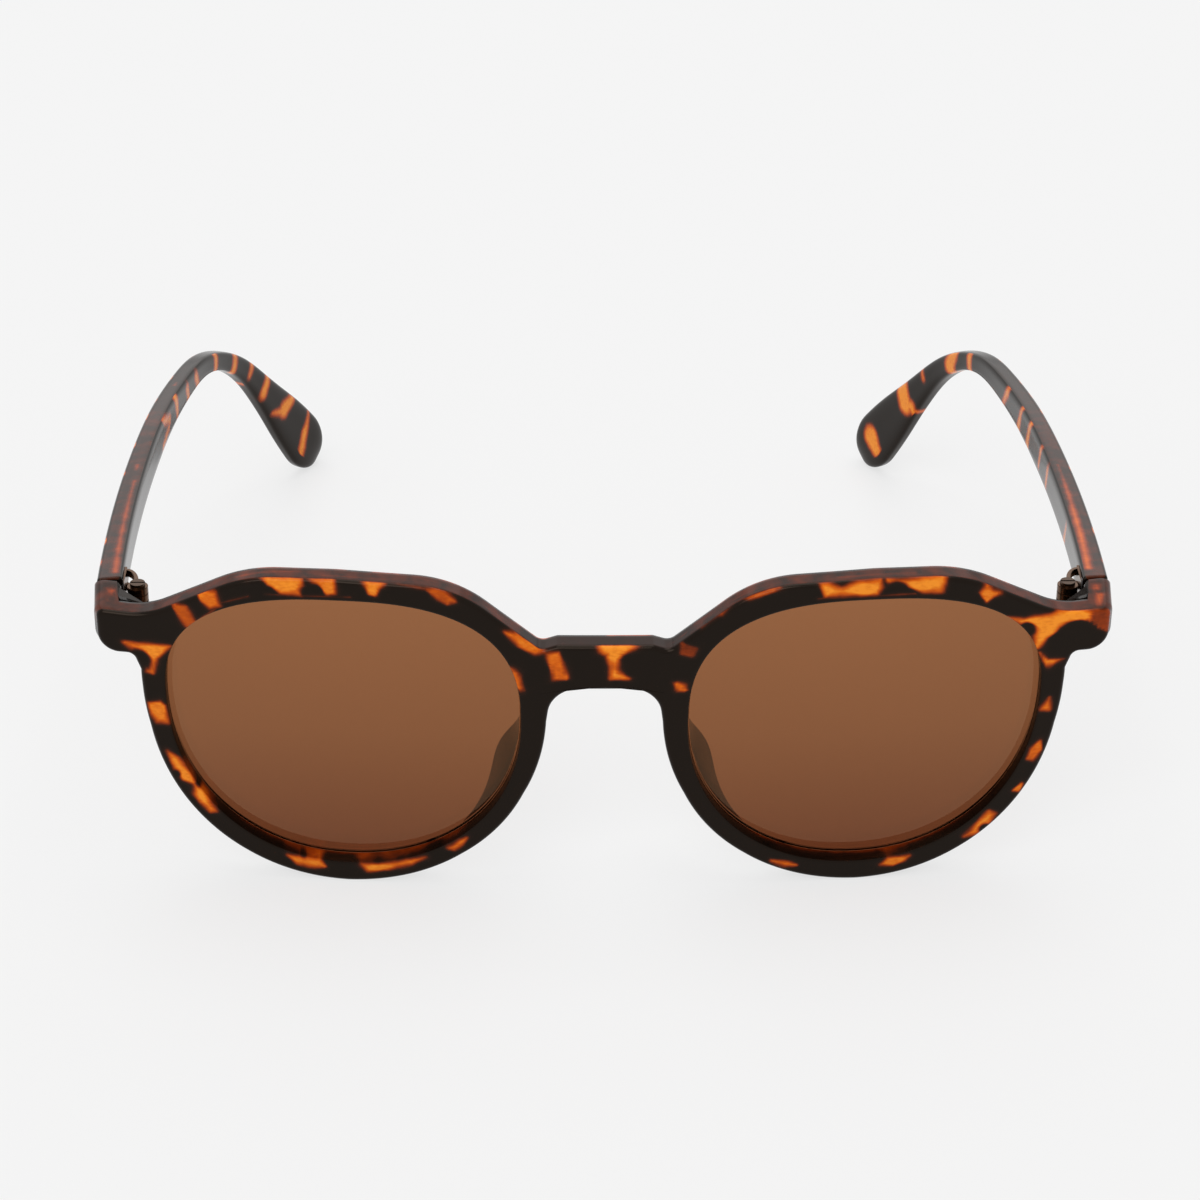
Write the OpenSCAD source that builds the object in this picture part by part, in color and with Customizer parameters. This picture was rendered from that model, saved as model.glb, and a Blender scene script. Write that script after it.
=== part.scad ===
// Panto sunglasses standing open on the lower rims and the temple tips.
// X runs across the face, +Y runs back towards the ears, +Z is up.

/* [Lenses] */
// Width of each lens opening
lens_w = 51.2; // [46:0.2:54]
// Height of each lens opening
lens_h = 46; // [41:0.5:50]
// Distance between the two lens openings
bridge_w = 24.2; // [20:0.2:28]
// Height of the widest point on the temple side, above the middle of the opening
crown_side = 5.5; // [3:0.5:8]
// Height of the widest point on the nose side, above the middle of the opening
crown_nose = 3; // [1:0.5:6]
// Thickness of the lens
lens_t = 1.8; // [1.4:0.1:2.2]
// Radius of the lens curve
lens_r = 220; // [150:10:400]
// Depth of the lens behind the rim's front face, at the middle of the lens
lens_set = 1; // [0.6:0.1:1.4]
// Thickness of the bevel round the lens edge
bevel_t = 0.9; // [0.6:0.1:1.1]
// Depth of the groove that holds the bevel
groove_d = 0.7; // [0.4:0.1:0.9]
// Play of the lens in its groove
lens_play = 0.06; // [0.03:0.01:0.1]

/* [Front] */
// Thickness of the front
front_t = 4.2; // [3.8:0.1:5]
// Width of the rim beside and under the lens
rim_w = 3.5; // [2.8:0.1:4.5]
// Width of the rim against the nose
nose_w = 3.7; // [3:0.1:5]
// Height of the brow above the lens opening
brow_h = 3.4; // [3:0.1:6]
// Height of the bridge, from its lower to its upper edge
bridge_h = 7.4; // [6:0.1:10]
// Drop of the bridge's upper edge below the top of the lens opening
bridge_drop = 6.8; // [5.6:0.1:8]
// Radius of the curve that wraps the front round the face
wrap_r = 450; // [350:10:800]
// Angle by which the top of the front leans forward
tilt = 4; // [0:0.5:8]
// Radius of the front edges
edge_r = 0.6; // [0.4:0.05:0.8]
// Radius of the back edges
back_r = 1.4; // [0.8:0.1:1.6]
// Depth of the moulded nose pads behind the front
pad_d = 6; // [3:0.5:8]
// Sideways flare of the nose pads
pad_flare = 2.6; // [1:0.2:3.4]

/* [End pieces] */
// Width from the outer face of one end piece to the other, at the front
front_w = 145.5; // [140:0.5:150]
// Height of the end piece
lug_h = 7.1; // [6:0.1:8.5]
// Drop of the end piece's upper edge below the top of the lens opening
lug_drop = 4.1; // [3.6:0.1:5.5]
// Outward flare of the end piece's arm, from the front to the temple
lug_flare = 1.05; // [0:0.05:1.5]
// Thickness of the end piece's arm at the temple
arm_t = 3.7; // [3:0.05:4.5]
// Distance from the front's face on the middle plane back to the temples
lug_reach = 12.75; // [12.2:0.05:16]

/* [Temples] */
// Length of the temple along its middle line
temple_l = 150.1; // [135:0.1:160]
// Length from the hinge to the start of the ear bend
ear_start = 89; // [80:0.1:100]
// Length of the ear bend
ear_bend = 29.5; // [20:0.5:36]
// Downward slope of the straight part
temple_slope = 3.9; // [2:0.1:6]
// Downward slope at the end of the ear bend
tip_slope = 48; // [35:1:55]
// Further downward turn along the tip
tip_turn = 4; // [0:0.5:10]
// Thickness of the temple at the hinge
temple_t = 3.85; // [3:0.05:4.5]
// Thickness of the tip
tip_t = 2.8; // [2.6:0.1:4]
// Height of the temple at the hinge
temple_h = 5.7; // [5:0.1:7]
// Height of the temple in the ear bend
neck_h = 3; // [3:0.1:5]
// Height of the tip
tip_h = 10; // [6:0.1:10.5]
// Gap between the end piece and the temple
parting = 0.15; // [0.1:0.05:0.3]

/* [Hinges] */
// Outer radius of the hinge barrel
barrel_r = 1.5; // [1.2:0.05:1.7]
// Radius of the screw's shank
screw_r = 0.7; // [0.5:0.05:0.8]
// Running clearance between the shank and the knuckles
pin_play = 0.04; // [0.02:0.01:0.08]
// Height of one knuckle
knuckle_h = 1.1; // [0.9:0.05:1.3]
// Gap between two knuckles
knuckle_gap = 0.05; // [0.03:0.01:0.1]
// Thickness of the hinge plates
leaf_t = 0.6; // [0.4:0.05:0.8]
// Length of the plate let into the temple
temple_leaf = 5; // [4:0.5:8]
// Length of the plate let into the end piece
front_leaf = 3; // [2.4:0.2:3.4]
// Gap between the barrel and the temple's inner face
barrel_gap = 0.6; // [0.5:0.05:1.2]
// Radius of the screw's head
head_r = 1.1; // [0.9:0.05:1.15]
// Height of the screw's head
head_h = 0.55; // [0.3:0.05:0.7]

/* [Hidden] */
$fn = 48;

tortoise = "#3a2216";
smoke_brown = [0.48, 0.31, 0.2, 0.75];
gunmetal = "#55504a";

// The right-hand lens opening, in the plane of the front with its lowest rim at z = 0
lens_x = (bridge_w + lens_w) / 2;
open_low = rim_w;
lens_z = open_low + lens_h / 2;
open_top = open_low + lens_h;
// Fullness of the opening's corners, above and below its widest points
full_top = 2.6;
full_low = 2.13;
chamfer = 0.3;

// Height of the pivot line of the front's lean
lean_z = lens_z - 0.5;

// Lens sphere: its axis stands square to the wrapped front at the lens centre
lens_yaw = asin(lens_x / wrap_r);
lens_front_y = lens_x * lens_x / (2 * wrap_r) + lens_set;
lens_mid = [lens_x - lens_r * sin(lens_yaw), lens_front_y + lens_r * cos(lens_yaw), lens_z];

// Outline heights
bridge_top = open_top - bridge_drop;
bridge_low = bridge_top - bridge_h;
brow_z = open_top + brow_h;
lug_top = open_top - lug_drop;
lug_low = lug_top - lug_h;
lug_x = front_w / 2;
open_out = bridge_w / 2 + lens_w;

// Corners of the upper outline, from under the end piece over the brow to the nose:
// x, z, radius of the corner, and the angle of the point of the opening joined to it
nose_edge = bridge_w / 2 - nose_w;
lug_w = lug_x - open_out;
brow = [
    [open_out + 0.402 * lug_w, lug_low - 2.4, 0, 8],
    [open_out + 0.455 * lug_w, lug_low, 1.3, 12],
    [lug_x, lug_low, 3, 18.5],
    [lug_x, lug_top, 1.2, 32],
    [open_out + 0.233 * lug_w, lug_top - 0.35, 11, 41],
    [lens_x + 0.256 * lens_w, brow_z - 0.2, 9, 66],
    [lens_x + 0.5, brow_z + 0.05, 40, 89],
    [lens_x - 0.318 * lens_w, brow_z - 0.65, 9, 119],
    [nose_edge + 0.8, bridge_top - 0.8, 1.6, 150],
    [nose_edge - 1.6, bridge_top, 1.5, 158],
    [0, bridge_top, 0, 161],
    [0, bridge_low, 0, 171],
    [nose_edge - 0.8, bridge_low, 4.6, 174],
    [nose_edge, lens_z + crown_nose, 0, 180]
];
last = len(brow) - 1;
arc_steps = 4;
line_step = 4;
ring_step = 5;

function unit(v) = v / norm(v);
function left(v) = [-v[1], v[0]];
function turn(v, a) = [v[0] * cos(a) - v[1] * sin(a), v[0] * sin(a) + v[1] * cos(a)];
function bend(a, b) = atan2(a[0] * b[1] - a[1] * b[0], a * b);
function mix(a, b, k) = a + (b - a) * k;
function pick(c) = [c[0], c[1]];

// Point of the right-hand lens opening at angle t, from the temple side over the top
function opening(t) =
    let(up = sin(t) >= 0,
        out = cos(t) >= 0,
        side = lens_z + (out ? crown_side : crown_nose),
        e = 2 / (up ? full_top : full_low),
        u = pow(abs(cos(t)), e),
        v = pow(abs(sin(t)), e))
    [lens_x + (out ? 1 : -1) * lens_w / 2 * u,
     up ? mix(side, open_top, v) : mix(side, open_low, v)];

// Direction at angle t that points out of the opening into the rim
function into_rim(t) = -left(unit(opening(t + 1) - opening(t - 1)));

// Length that the rounding of corner k takes off the lines beside it
function cut_back(k) =
    k == 0 || k == last ? 0
    : brow[k][2] * tan(abs(bend(pick(brow[k]) - pick(brow[k - 1]), pick(brow[k + 1]) - pick(brow[k]))) / 2);

// Share of the two roundings that the line from corner k to the next has room for
function room(k) = min(1, 0.95 * norm(pick(brow[k + 1]) - pick(brow[k])) / (cut_back(k) + cut_back(k + 1) + 0.01));

// Rounded corner k of the brow line: x, z, angle, and the direction into the plastic
function corner(k) =
    let(c = pick(brow[k]),
        a = unit(c - pick(brow[k - 1])),
        b = unit(pick(brow[k + 1]) - c),
        r = brow[k][2] * min(room(k - 1), room(k)),
        phi = bend(a, b),
        s = sign(phi),
        start = c - a * r * tan(abs(phi) / 2),
        run = norm(c - pick(brow[k - 1])) + norm(pick(brow[k + 1]) - c),
        dt = (brow[k + 1][3] - brow[k - 1][3]) * r * abs(phi) * PI / 180 / run)
    r == 0
    ? [let(m = left(abs(a[0]) > 0.5 ? a : b)) [c[0], c[1], brow[k][3], m[0], m[1]]]
    : [for (j = [0:arc_steps])
        let(v = turn(a, phi * j / arc_steps),
            p = start + s * r * (left(a) - left(v)),
            m = left(v))
        [p[0], p[1], brow[k][3] + dt * (j / arc_steps - 0.5), m[0], m[1]]];

// Points between corner k and the next, without the two ends
function between(k) =
    let(from = k == 0 ? [brow[0]] : corner(k),
        p = from[len(from) - 1],
        tp = k == 0 ? p[3] : p[2],
        q = corner(k + 1)[0],
        gap = norm(pick(q) - pick(p)),
        n = max(1, ceil(gap / (p[0] == 0 && q[0] == 0 ? 2 : line_step))),
        m = p[0] == 0 && q[0] == 0 ? [0, 0] : left(unit(pick(q) - pick(p))))
    n == 1 ? [] : [for (j = [1:n - 1])
        [mix(p[0], q[0], j / n), mix(p[1], q[1], j / n), mix(tp, q[2], j / n), m[0], m[1]]];

// Stations of the lower ring, where the rim keeps its width
function ring_w(t) = lookup(t, [[180, nose_w], [205, rim_w - 0.6], [235, rim_w - 0.6], [270, rim_w],
                                [300, rim_w - 0.3], [350, rim_w - 0.4], [368, rim_w + 0.2]]);
function ring(t) =
    let(n = into_rim(t), p = opening(t) + n * ring_w(t))
    [p[0], p[1], t, -n[0], -n[1]];

brow_line = [for (k = [1:last - 1]) each concat(corner(k), k < last - 1 ? between(k) : [])];
ring_line = [for (t = [180:ring_step:366]) ring(t)];
stations = concat(brow_line, ring_line);
ns = len(stations);

// Depth of the lens face at offset g behind its front surface, below the wrapped front
function lens_y(p, g) =
    let(dx = p[0] - lens_mid[0], dz = p[1] - lens_mid[2], r = lens_r - g)
    lens_mid[1] - sqrt(r * r - dx * dx - dz * dz) - p[0] * p[0] / (2 * wrap_r);

// How far the nose pad stands out at angle t, from 0 to 1
pad_from = 176;
pad_to = 232;
function pad(t) =
    t <= pad_from || t >= pad_to ? 0
    : pow(sin(180 * pow((t - pad_from) / (pad_to - pad_from), 0.85)), 1.6);

// Section of the front at one station: 8 points on the opening's side, then 6 outside
function rim_section(st) =
    let(t = st[2],
        o = opening(t),
        n = into_rim(t),
        e = [st[0], st[1]],
        m = [st[3], st[4]],
        deep = o + n * groove_d,
        g0 = (lens_t - bevel_t) / 2 - lens_play,
        g1 = (lens_t + bevel_t) / 2 + lens_play,
        w = pad(t),
        pad_in = o - n * pad_flare * w,
        pad_out = e + m * (back_r * (1 - w) + (pad_flare + 0.5) * w))
    [at(o + n * chamfer, 0),
     at(o, chamfer),
     at(o, lens_y(o, g0)),
     at(deep, lens_y(deep, g0)),
     at(deep, lens_y(deep, g1)),
     at(o, lens_y(o, g1)),
     at(mix(o, pad_in, 0.8 * w), front_t - chamfer + (pad_d - 0.4) * w),
     at(pad_in + n * (chamfer + 0.5 * w), front_t + pad_d * w),
     at(pad_out, front_t + (pad_d - 0.4) * w),
     at(mix(pad_out, e + m * 0.3 * back_r, 1 - w), front_t - 0.3 * back_r + (pad_d - 1) * w),
     at(e + m * 1.2 * w, front_t - back_r + 1.6 * w),
     at(e, edge_r),
     at(e + m * 0.3 * edge_r, 0.3 * edge_r),
     at(e + m * edge_r, 0)];
sec = 14;
outside = 8;

// Point p of the front's plane at depth d behind the wrapped face
function at(p, d) = [p[0], d + p[0] * p[0] / (2 * wrap_r), p[1]];
function on_middle(i) = abs(stations[i][0]) < 0.001;

// Closed band round both openings; the two halves share their points on the middle plane
module rims() {
    right = [for (s = stations) each rim_section(s)];
    half = len(right);
    points = concat(right, [for (p = right) [-p[0], p[1], p[2]]]);
    function id(i, j, side) =
        (side == 1 && on_middle(i) && j >= outside ? 0 : side * half) + i * sec + j;
    faces = [for (i = [0:ns - 1], j = [0:sec - 1])
        let(i2 = (i + 1) % ns,
            j2 = (j + 1) % sec,
            inner_wall = on_middle(i) && on_middle(i2) && j >= outside && j2 > j)
        if (!inner_wall) for (side = [0, 1])
            let(a = id(i, j, side), b = id(i2, j, side), c = id(i2, j2, side), d = id(i, j2, side))
            each side == 0 ? [[c, b, a], [d, c, a]] : [[a, b, c], [a, c, d]]];
    polyhedron(points, faces, convexity = 10);
}

// Leans the front forward about the middle of the lenses
function leaned(p) = [p[0], p[1] * cos(tilt) - (p[2] - lean_z) * sin(tilt),
                      lean_z + (p[2] - lean_z) * cos(tilt) + p[1] * sin(tilt)];
module lean() {
    translate([0, 0, lean_z])
        rotate([tilt, 0, 0])
            translate([0, 0, -lean_z])
                children();
}

// Both sides of the pair, side = 1 is right and -1 is left
module on_side(side) {
    if (side > 0) children();
    else mirror([1, 0, 0]) children();
}

// Rings swept into one closed skin with a flat cap on each end
module skin(rings) {
    m = len(rings[0]);
    n = len(rings);
    points = [for (r = rings) each r];
    sides = [for (i = [0:n - 2], j = [0:m - 1])
        let(k = (j + 1) % m)
        each [[i * m + j, i * m + k, (i + 1) * m + k], [i * m + j, (i + 1) * m + k, (i + 1) * m + j]]];
    caps = [[for (j = [m - 1:-1:0]) j], [for (j = [0:m - 1]) (n - 1) * m + j]];
    polyhedron(points, concat(sides, caps), convexity = 6);
}

// Rounded rectangle section about c, with half sizes a along u and b along v, rounder as e grows
bar_points = 16;
function bar_ring(c, u, v, a, b, e) = [for (k = [0.5:bar_points])
    let(t = 360 * k / bar_points)
    c + u * a * sign(cos(t)) * pow(abs(cos(t)), e) + v * b * sign(sin(t)) * pow(abs(sin(t)), e)];

// Heading of the right-hand temple along its length: inward angle and downward angle.
// It splays out at the hinge and curls in towards the tip.
ear_end = ear_start + ear_bend;
splay = 3;
curl = 30.5;
function inward(s) = lookup(s, [[0, -splay], [0.34 * ear_start, 0], [0.7 * ear_start, 0.11 * curl],
                                [ear_start, 0.35 * curl], [ear_end, 0.85 * curl], [temple_l, curl]]);
function downward(s, drop) = drop + lookup(s, [[ear_start, temple_slope], [ear_end, tip_slope],
                                               [temple_l, tip_slope + tip_turn]]);
function heading(s, drop) =
    let(a = inward(s), b = downward(s, drop))
    [-sin(a) * cos(b), cos(a) * cos(b), -sin(b)];
function bar_h(s) = lookup(s, [[0.68 * ear_start, temple_h], [ear_start + 0.45 * ear_bend, neck_h],
                               [ear_end + 2, mix(neck_h, tip_h, 0.23)], [temple_l - tip_h, tip_h]]);
function soft_h(s) = (bar_h(s - 5) + 2 * bar_h(s) + bar_h(s + 5)) / 4;
function bar_t(s) = lookup(s, [[0, temple_t], [0.68 * ear_start, mix(temple_t, tip_t, 0.5)],
                               [temple_l, tip_t]]);
function bar_e(s) = lookup(s, [[0, 0.3], [ear_start, 0.4], [ear_end, 0.5]]);

// The temple starts behind the end piece, its outer face a little further in
step_in = 0.27;
temple_y = lug_reach + parting;
temple_top = lean_top(lug_top);
temple_x = lug_x + lug_flare - step_in - temple_t / 2;
function lean_top(z) = (z - lean_z) * cos(tilt) + lean_z + (lug_reach + 1.2) * sin(tilt);
temple_start = [temple_x, temple_y, temple_top - temple_h / 2];

round_end = 0.78 * tip_h;
root_r = 0.35;
walk = 2.5;
temple_s = concat([0, root_r], [for (s = [walk:walk:temple_l - round_end]) s],
                  [for (a = [0:15:90]) temple_l - round_end + round_end * sin(a)]);

// The parting is cut at a slant, with its outer end further back
slant = 9;

// Middle line of the temple, stepped along the heading
function line_at(drop) =
    [for (i = 0, p = temple_start; i < len(temple_s);
          p = i < len(temple_s) - 1
              ? p + heading((temple_s[i] + temple_s[i + 1]) / 2, drop) * (temple_s[i + 1] - temple_s[i])
              : p,
          i = i + 1) p];

// Share of the full section left at s, where the tip rounds off; sharper with a larger p
function end_share(s, p) =
    let(k = max(0, (s - temple_l + round_end) / round_end))
    sqrt(max(0.02, 1 - pow(k, p)));

function temple_rings(drop) =
    let(line = line_at(drop))
    [for (i = [0:len(temple_s) - 1])
        let(s = temple_s[i],
            a = i < 2 ? 0 : inward(s),
            b = i < 2 ? 0 : downward(s, drop),
            n = i < 2 ? [1, tan(slant), 0] : [cos(a), sin(a), 0],
            w = [-sin(a) * sin(b), cos(a) * sin(b), cos(b)],
            r = i == 0 ? root_r : 0)
        bar_ring(line[i], n, w, bar_t(s) * end_share(s, 4) / 2 - r, soft_h(s) * end_share(s, 2) / 2 - r,
                 bar_e(s))];
function lowest(rings) = min([for (r = rings) each [for (p = r) p[2]]]);

// The slope is trimmed until the tips reach the level that the rims stand on
front_low = min([for (s = stations) each [for (p = rim_section(s)) leaned(p)[2]]]);
trim = atan2(lowest(temple_rings(0)) - front_low, 0.87 * temple_l);
temple_skin = temple_rings(trim);

// Outer skin of the right-hand temple
module temple_bar() {
    skin(temple_skin);
}

// Arm of the right-hand end piece, from inside the front back to the parting
lug_y0 = 5.6;
arm_in = lug_x + lug_flare - arm_t;
lug_bottom0 = lean_bottom(lug_low);
function lean_bottom(z) = (z - lean_z) * cos(tilt) + lean_z + lug_y0 * sin(tilt) + 0.35;
function lug_ring(k, dip = 0) =
    let(y = (k == 7 ? lug_reach : mix(lug_y0, lug_reach - root_r, k / 6)) - dip,
        r = (k == 7 ? root_r : 0) + 1.5 * dip,
        q = max(0, (y - lug_y0) / (lug_reach - lug_y0)),
        outer = mix(lug_x - 0.25, lug_x + lug_flare, pow(q, 0.8)) - r,
        inner = arm_in - 3 * pow(max(0, 1 - 1.4 * q), 2.5) + r,
        top = temple_top - (lug_reach - y) * sin(tilt) - r,
        low = mix(lug_bottom0, temple_top - temple_h, pow(q, 1.3)) + r)
    bar_ring([(outer + inner) / 2, y, (top + low) / 2], [1, tan(slant) * pow(q, 4), 0], [0, 0, 1],
             (outer - inner) / 2, (top - low) / 2, 0.35);

// Each length of the arm has a core that dips into the one before it
module lug_arm() {
    for (k = [0:6]) hull() skin([lug_ring(k, 0.3), lug_ring(k), lug_ring(k + 1)]);
}

// Hinge, all about a vertical axis inside the parting
inner_face = temple_x - temple_t / 2;
axis_x = inner_face - barrel_gap - barrel_r;
axis_y = lug_reach + parting / 2;
barrel_h = 3 * knuckle_h + 2 * knuckle_gap;
barrel_top = temple_top - temple_h / 2 + barrel_h / 2;
barrel_low = barrel_top - barrel_h;
bore_r = screw_r + pin_play;
function face(way) = (way > 0 ? inner_face : arm_in) - axis_x;
function leaf(way) = way > 0 ? temple_leaf : front_leaf;

module at_axis() {
    translate([axis_x, axis_y, 0]) children();
}

// One knuckle with its bowed strap to the plate; way = 1 goes back, -1 goes forward
module knuckle(way) {
    across = face(way) + 0.1;
    along = leaf(way) - 0.6;
    difference() {
        union() {
            circle(r = barrel_r);
            translate([across, way * (barrel_r - leaf_t)]) intersection() {
                difference() {
                    scale([across, along]) circle(r = 1);
                    scale([across - leaf_t, along - leaf_t]) circle(r = 1);
                }
                translate([-across, way > 0 ? 0 : -along]) square([across, along]);
            }
        }
        circle(r = bore_r);
    }
}

// Plate that lies in the plastic, seen from above
module plate(way) {
    start = barrel_r - leaf_t;
    translate([face(way), way > 0 ? start : -start - leaf(way)]) square([leaf_t, leaf(way)]);
}

module hinge_front() {
    at_axis() {
        translate([0, 0, barrel_low + knuckle_h + knuckle_gap])
            linear_extrude(knuckle_h) knuckle(-1);
        translate([0, 0, barrel_low])
            linear_extrude(barrel_h) plate(-1);
    }
}

module hinge_temple() {
    at_axis() {
        for (k = [0, 2]) translate([0, 0, barrel_low + k * (knuckle_h + knuckle_gap)])
            linear_extrude(knuckle_h) knuckle(1);
        translate([0, 0, barrel_low])
            linear_extrude(barrel_h) plate(1);
    }
}

module hinge_screw() {
    slot_w = 0.3;
    at_axis() difference() {
        union() {
            translate([0, 0, barrel_low - 0.2]) cylinder(r = screw_r, h = barrel_h + 0.3);
            translate([0, 0, barrel_top]) cylinder(r = head_r, h = head_h);
        }
        translate([-head_r - 1, -slot_w / 2, barrel_top + head_h / 2])
            cube([2 * head_r + 2, slot_w, head_h]);
    }
}

// Pocket for a plate, open to the inner face
module pocket(way) {
    open = 2;
    start = barrel_r - leaf_t;
    at_axis() translate([face(way) - open, way > 0 ? start : -start - leaf(way), barrel_low])
        cube([leaf_t + open, leaf(way), barrel_h]);
}

// Lens: body inside the opening, and a bevel round it that fills the groove
module lens_blank(grow, from, to) {
    difference() {
        intersection() {
            rotate([90, 0, 0]) mirror([0, 0, 1]) linear_extrude(lug_reach)
                polygon([for (s = stations) opening(s[2]) + into_rim(s[2]) * grow]);
            translate(lens_mid) sphere(r = lens_r - from, $fn = 96);
        }
        translate(lens_mid) sphere(r = lens_r - to, $fn = 96);
    }
}

module lens() {
    lens_blank(-lens_play, 0, lens_t);
    lens_blank(groove_d - lens_play, (lens_t - bevel_t) / 2, (lens_t + bevel_t) / 2);
}

// The whole pair stands with its rims on z = 0 and its middle over the origin
front_y = min([for (s = stations) each [for (p = rim_section(s)) leaned(p)[1]]]);
rear_y = max([for (r = temple_skin) each [for (p = r) p[1]]]);
middle_y = (front_y + rear_y) / 2;
module stand() {
    translate([0, -middle_y, -front_low]) children();
}

module front_frame() {
    color(tortoise) stand() difference() {
        union() {
            lean() rims();
            for (side = [-1, 1]) on_side(side) lug_arm();
        }
        for (side = [-1, 1]) on_side(side) pocket(-1);
    }
}

module temple(side) {
    color(tortoise) stand() on_side(side) difference() {
        temple_bar();
        pocket(1);
    }
}

module lens_at(side) {
    color(smoke_brown) stand() on_side(side) lean() lens();
}

module metal(side) {
    color(gunmetal) stand() on_side(side) children();
}

module lens_left() lens_at(-1);
module lens_right() lens_at(1);
module temple_left() temple(-1);
module temple_right() temple(1);
module hinge_front_left() metal(-1) hinge_front();
module hinge_front_right() metal(1) hinge_front();
module hinge_temple_left() metal(-1) hinge_temple();
module hinge_temple_right() metal(1) hinge_temple();
module hinge_screw_left() metal(-1) hinge_screw();
module hinge_screw_right() metal(1) hinge_screw();

front_frame();
lens_left();
lens_right();
temple_left();
temple_right();
hinge_front_left();
hinge_front_right();
hinge_temple_left();
hinge_temple_right();
hinge_screw_left();
hinge_screw_right();
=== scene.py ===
import math
import random

import bmesh
import bpy
from mathutils import Matrix, Vector


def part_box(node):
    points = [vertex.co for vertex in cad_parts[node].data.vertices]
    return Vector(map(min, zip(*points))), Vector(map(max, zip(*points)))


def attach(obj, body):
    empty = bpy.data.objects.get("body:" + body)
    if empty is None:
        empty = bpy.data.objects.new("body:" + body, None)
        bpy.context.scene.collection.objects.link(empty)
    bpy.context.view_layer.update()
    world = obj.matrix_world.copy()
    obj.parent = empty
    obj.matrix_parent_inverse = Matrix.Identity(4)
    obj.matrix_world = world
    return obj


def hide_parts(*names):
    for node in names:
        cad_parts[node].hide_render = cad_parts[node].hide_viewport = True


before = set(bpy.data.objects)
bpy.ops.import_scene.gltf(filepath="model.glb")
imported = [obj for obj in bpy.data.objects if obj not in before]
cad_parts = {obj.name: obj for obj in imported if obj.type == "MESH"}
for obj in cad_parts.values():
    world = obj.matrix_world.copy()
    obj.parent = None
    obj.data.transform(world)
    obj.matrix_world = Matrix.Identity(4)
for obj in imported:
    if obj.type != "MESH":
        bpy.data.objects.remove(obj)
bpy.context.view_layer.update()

scene = bpy.context.scene
scene.view_settings.view_transform = "Standard"
mm = 0.001


def mix(a, b, k):
    return a + (b - a) * k


def clamp(v, low=0.0, high=1.0):
    return max(low, min(high, v))


def share(v, low, high):
    # how far v has come from low to high
    return clamp((v - low) / (high - low))


def smooth(v):
    v = clamp(v)
    return v * v * (3 - 2 * v)


def sinCos(degrees):
    return math.sin(math.radians(degrees)), math.cos(math.radians(degrees))


def lookup(x, table):
    # straight lines between a table's points
    if x <= table[0][0]:
        return table[0][1]
    for (x0, y0), (x1, y1) in zip(table, table[1:]):
        if x <= x1:
            return mix(y0, y1, (x - x0) / (x1 - x0))
    return table[-1][1]


def hexColor(code):
    # sRGB hex to linear RGBA
    parts = [int(code[i:i + 2], 16) / 255 for i in (1, 3, 5)]
    return [c / 12.92 if c <= 0.04045 else ((c + 0.055) / 1.055) ** 2.4 for c in parts] + [1.0]


def addNode(tree, kind, settings=None, links=None):
    # a link starts at an output, or at a node for its first output
    node = tree.nodes.new(kind)
    for key, value in (settings or {}).items():
        if isinstance(key, str) and hasattr(node, key):
            setattr(node, key, value)
        else:
            node.inputs[key].default_value = value
    for key, source in (links or {}).items():
        output = source.outputs[0] if isinstance(source, bpy.types.Node) else source
        tree.links.new(output, node.inputs[key])
    return node


def newMaterial(name):
    material = bpy.data.materials.new(name)
    material.use_nodes = True
    material.node_tree.nodes.clear()
    return material, material.node_tree


def meshObject(name, vertices, faces):
    mesh = bpy.data.meshes.new(name)
    mesh.from_pydata(vertices, [], faces)
    piece = bpy.data.objects.new(name, mesh)
    scene.collection.objects.link(piece)
    return piece


def chainEdges(mesh, closed):
    # joins a mesh's points in their order
    count = len(mesh.vertices)
    mesh.edges.add(count if closed else count - 1)
    for k, edge in enumerate(mesh.edges):
        edge.vertices = (k, (k + 1) % count)


def storeFloat(mesh, name, values):
    layer = mesh.attributes.get(name) or mesh.attributes.new(name, "FLOAT", "POINT")
    layer.data.foreach_set("value", values)


def shadeSmooth(bm, sharpAngle):
    # smooth faces, with a crease along every edge that bends by more than sharpAngle
    for face in bm.faces:
        face.smooth = True
    for edge in bm.edges:
        edge.smooth = len(edge.link_faces) == 2 and edge.calc_face_angle(0) < math.radians(sharpAngle)


def cleanMesh(piece, sharpAngle=38, merge=0.02):
    bm = bmesh.new()
    bm.from_mesh(piece.data)
    bmesh.ops.remove_doubles(bm, verts=bm.verts, dist=merge * mm)
    bmesh.ops.dissolve_degenerate(bm, edges=bm.edges, dist=0.002 * mm)
    bmesh.ops.recalc_face_normals(bm, faces=bm.faces)
    shadeSmooth(bm, sharpAngle)
    openEdges = sum(1 for edge in bm.edges if not edge.is_manifold)
    bm.to_mesh(piece.data)
    bm.free()
    print(piece.name, len(piece.data.vertices), "vertices,", openEdges, "open edges")


# sizes in mm and angles in degrees; the pair is drawn flat, as seen from the front,
# and then wrapped and tilted with its top forward
lens = {
    "width": 51.2, "height": 46.0,          # the opening that it fills
    "crownSide": 5.5, "crownNose": 3.0,     # its widest points over its middle, outside and at the nose
    "fullTop": 2.6, "fullLow": 2.13,        # 2 is an ellipse, and more is squarer
    "thick": 1.8, "radius": 220.0, "set": 1.0, "bevel": 0.9, "play": 0.06, "gap": 0.02,
    "corner": 0.12, "cornerDepth": 0.1, "turns": 180,
}
front = {
    "width": 145.5, "thick": 4.2, "wrapR": 450.0, "tilt": 4.0, "pivotDrop": 0.5,
    "rimW": 3.5, "noseW": 3.7, "browH": 3.4, "bridgeW": 24.2, "bridgeH": 7.4, "bridgeDrop": 6.8,
    "edgeR": 0.6, "backR": 1.4, "chamfer": 0.3, "groove": 0.7,
    "arcSteps": 12, "lineStep": 0.38, "ringStep": 0.65,
}
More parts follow.
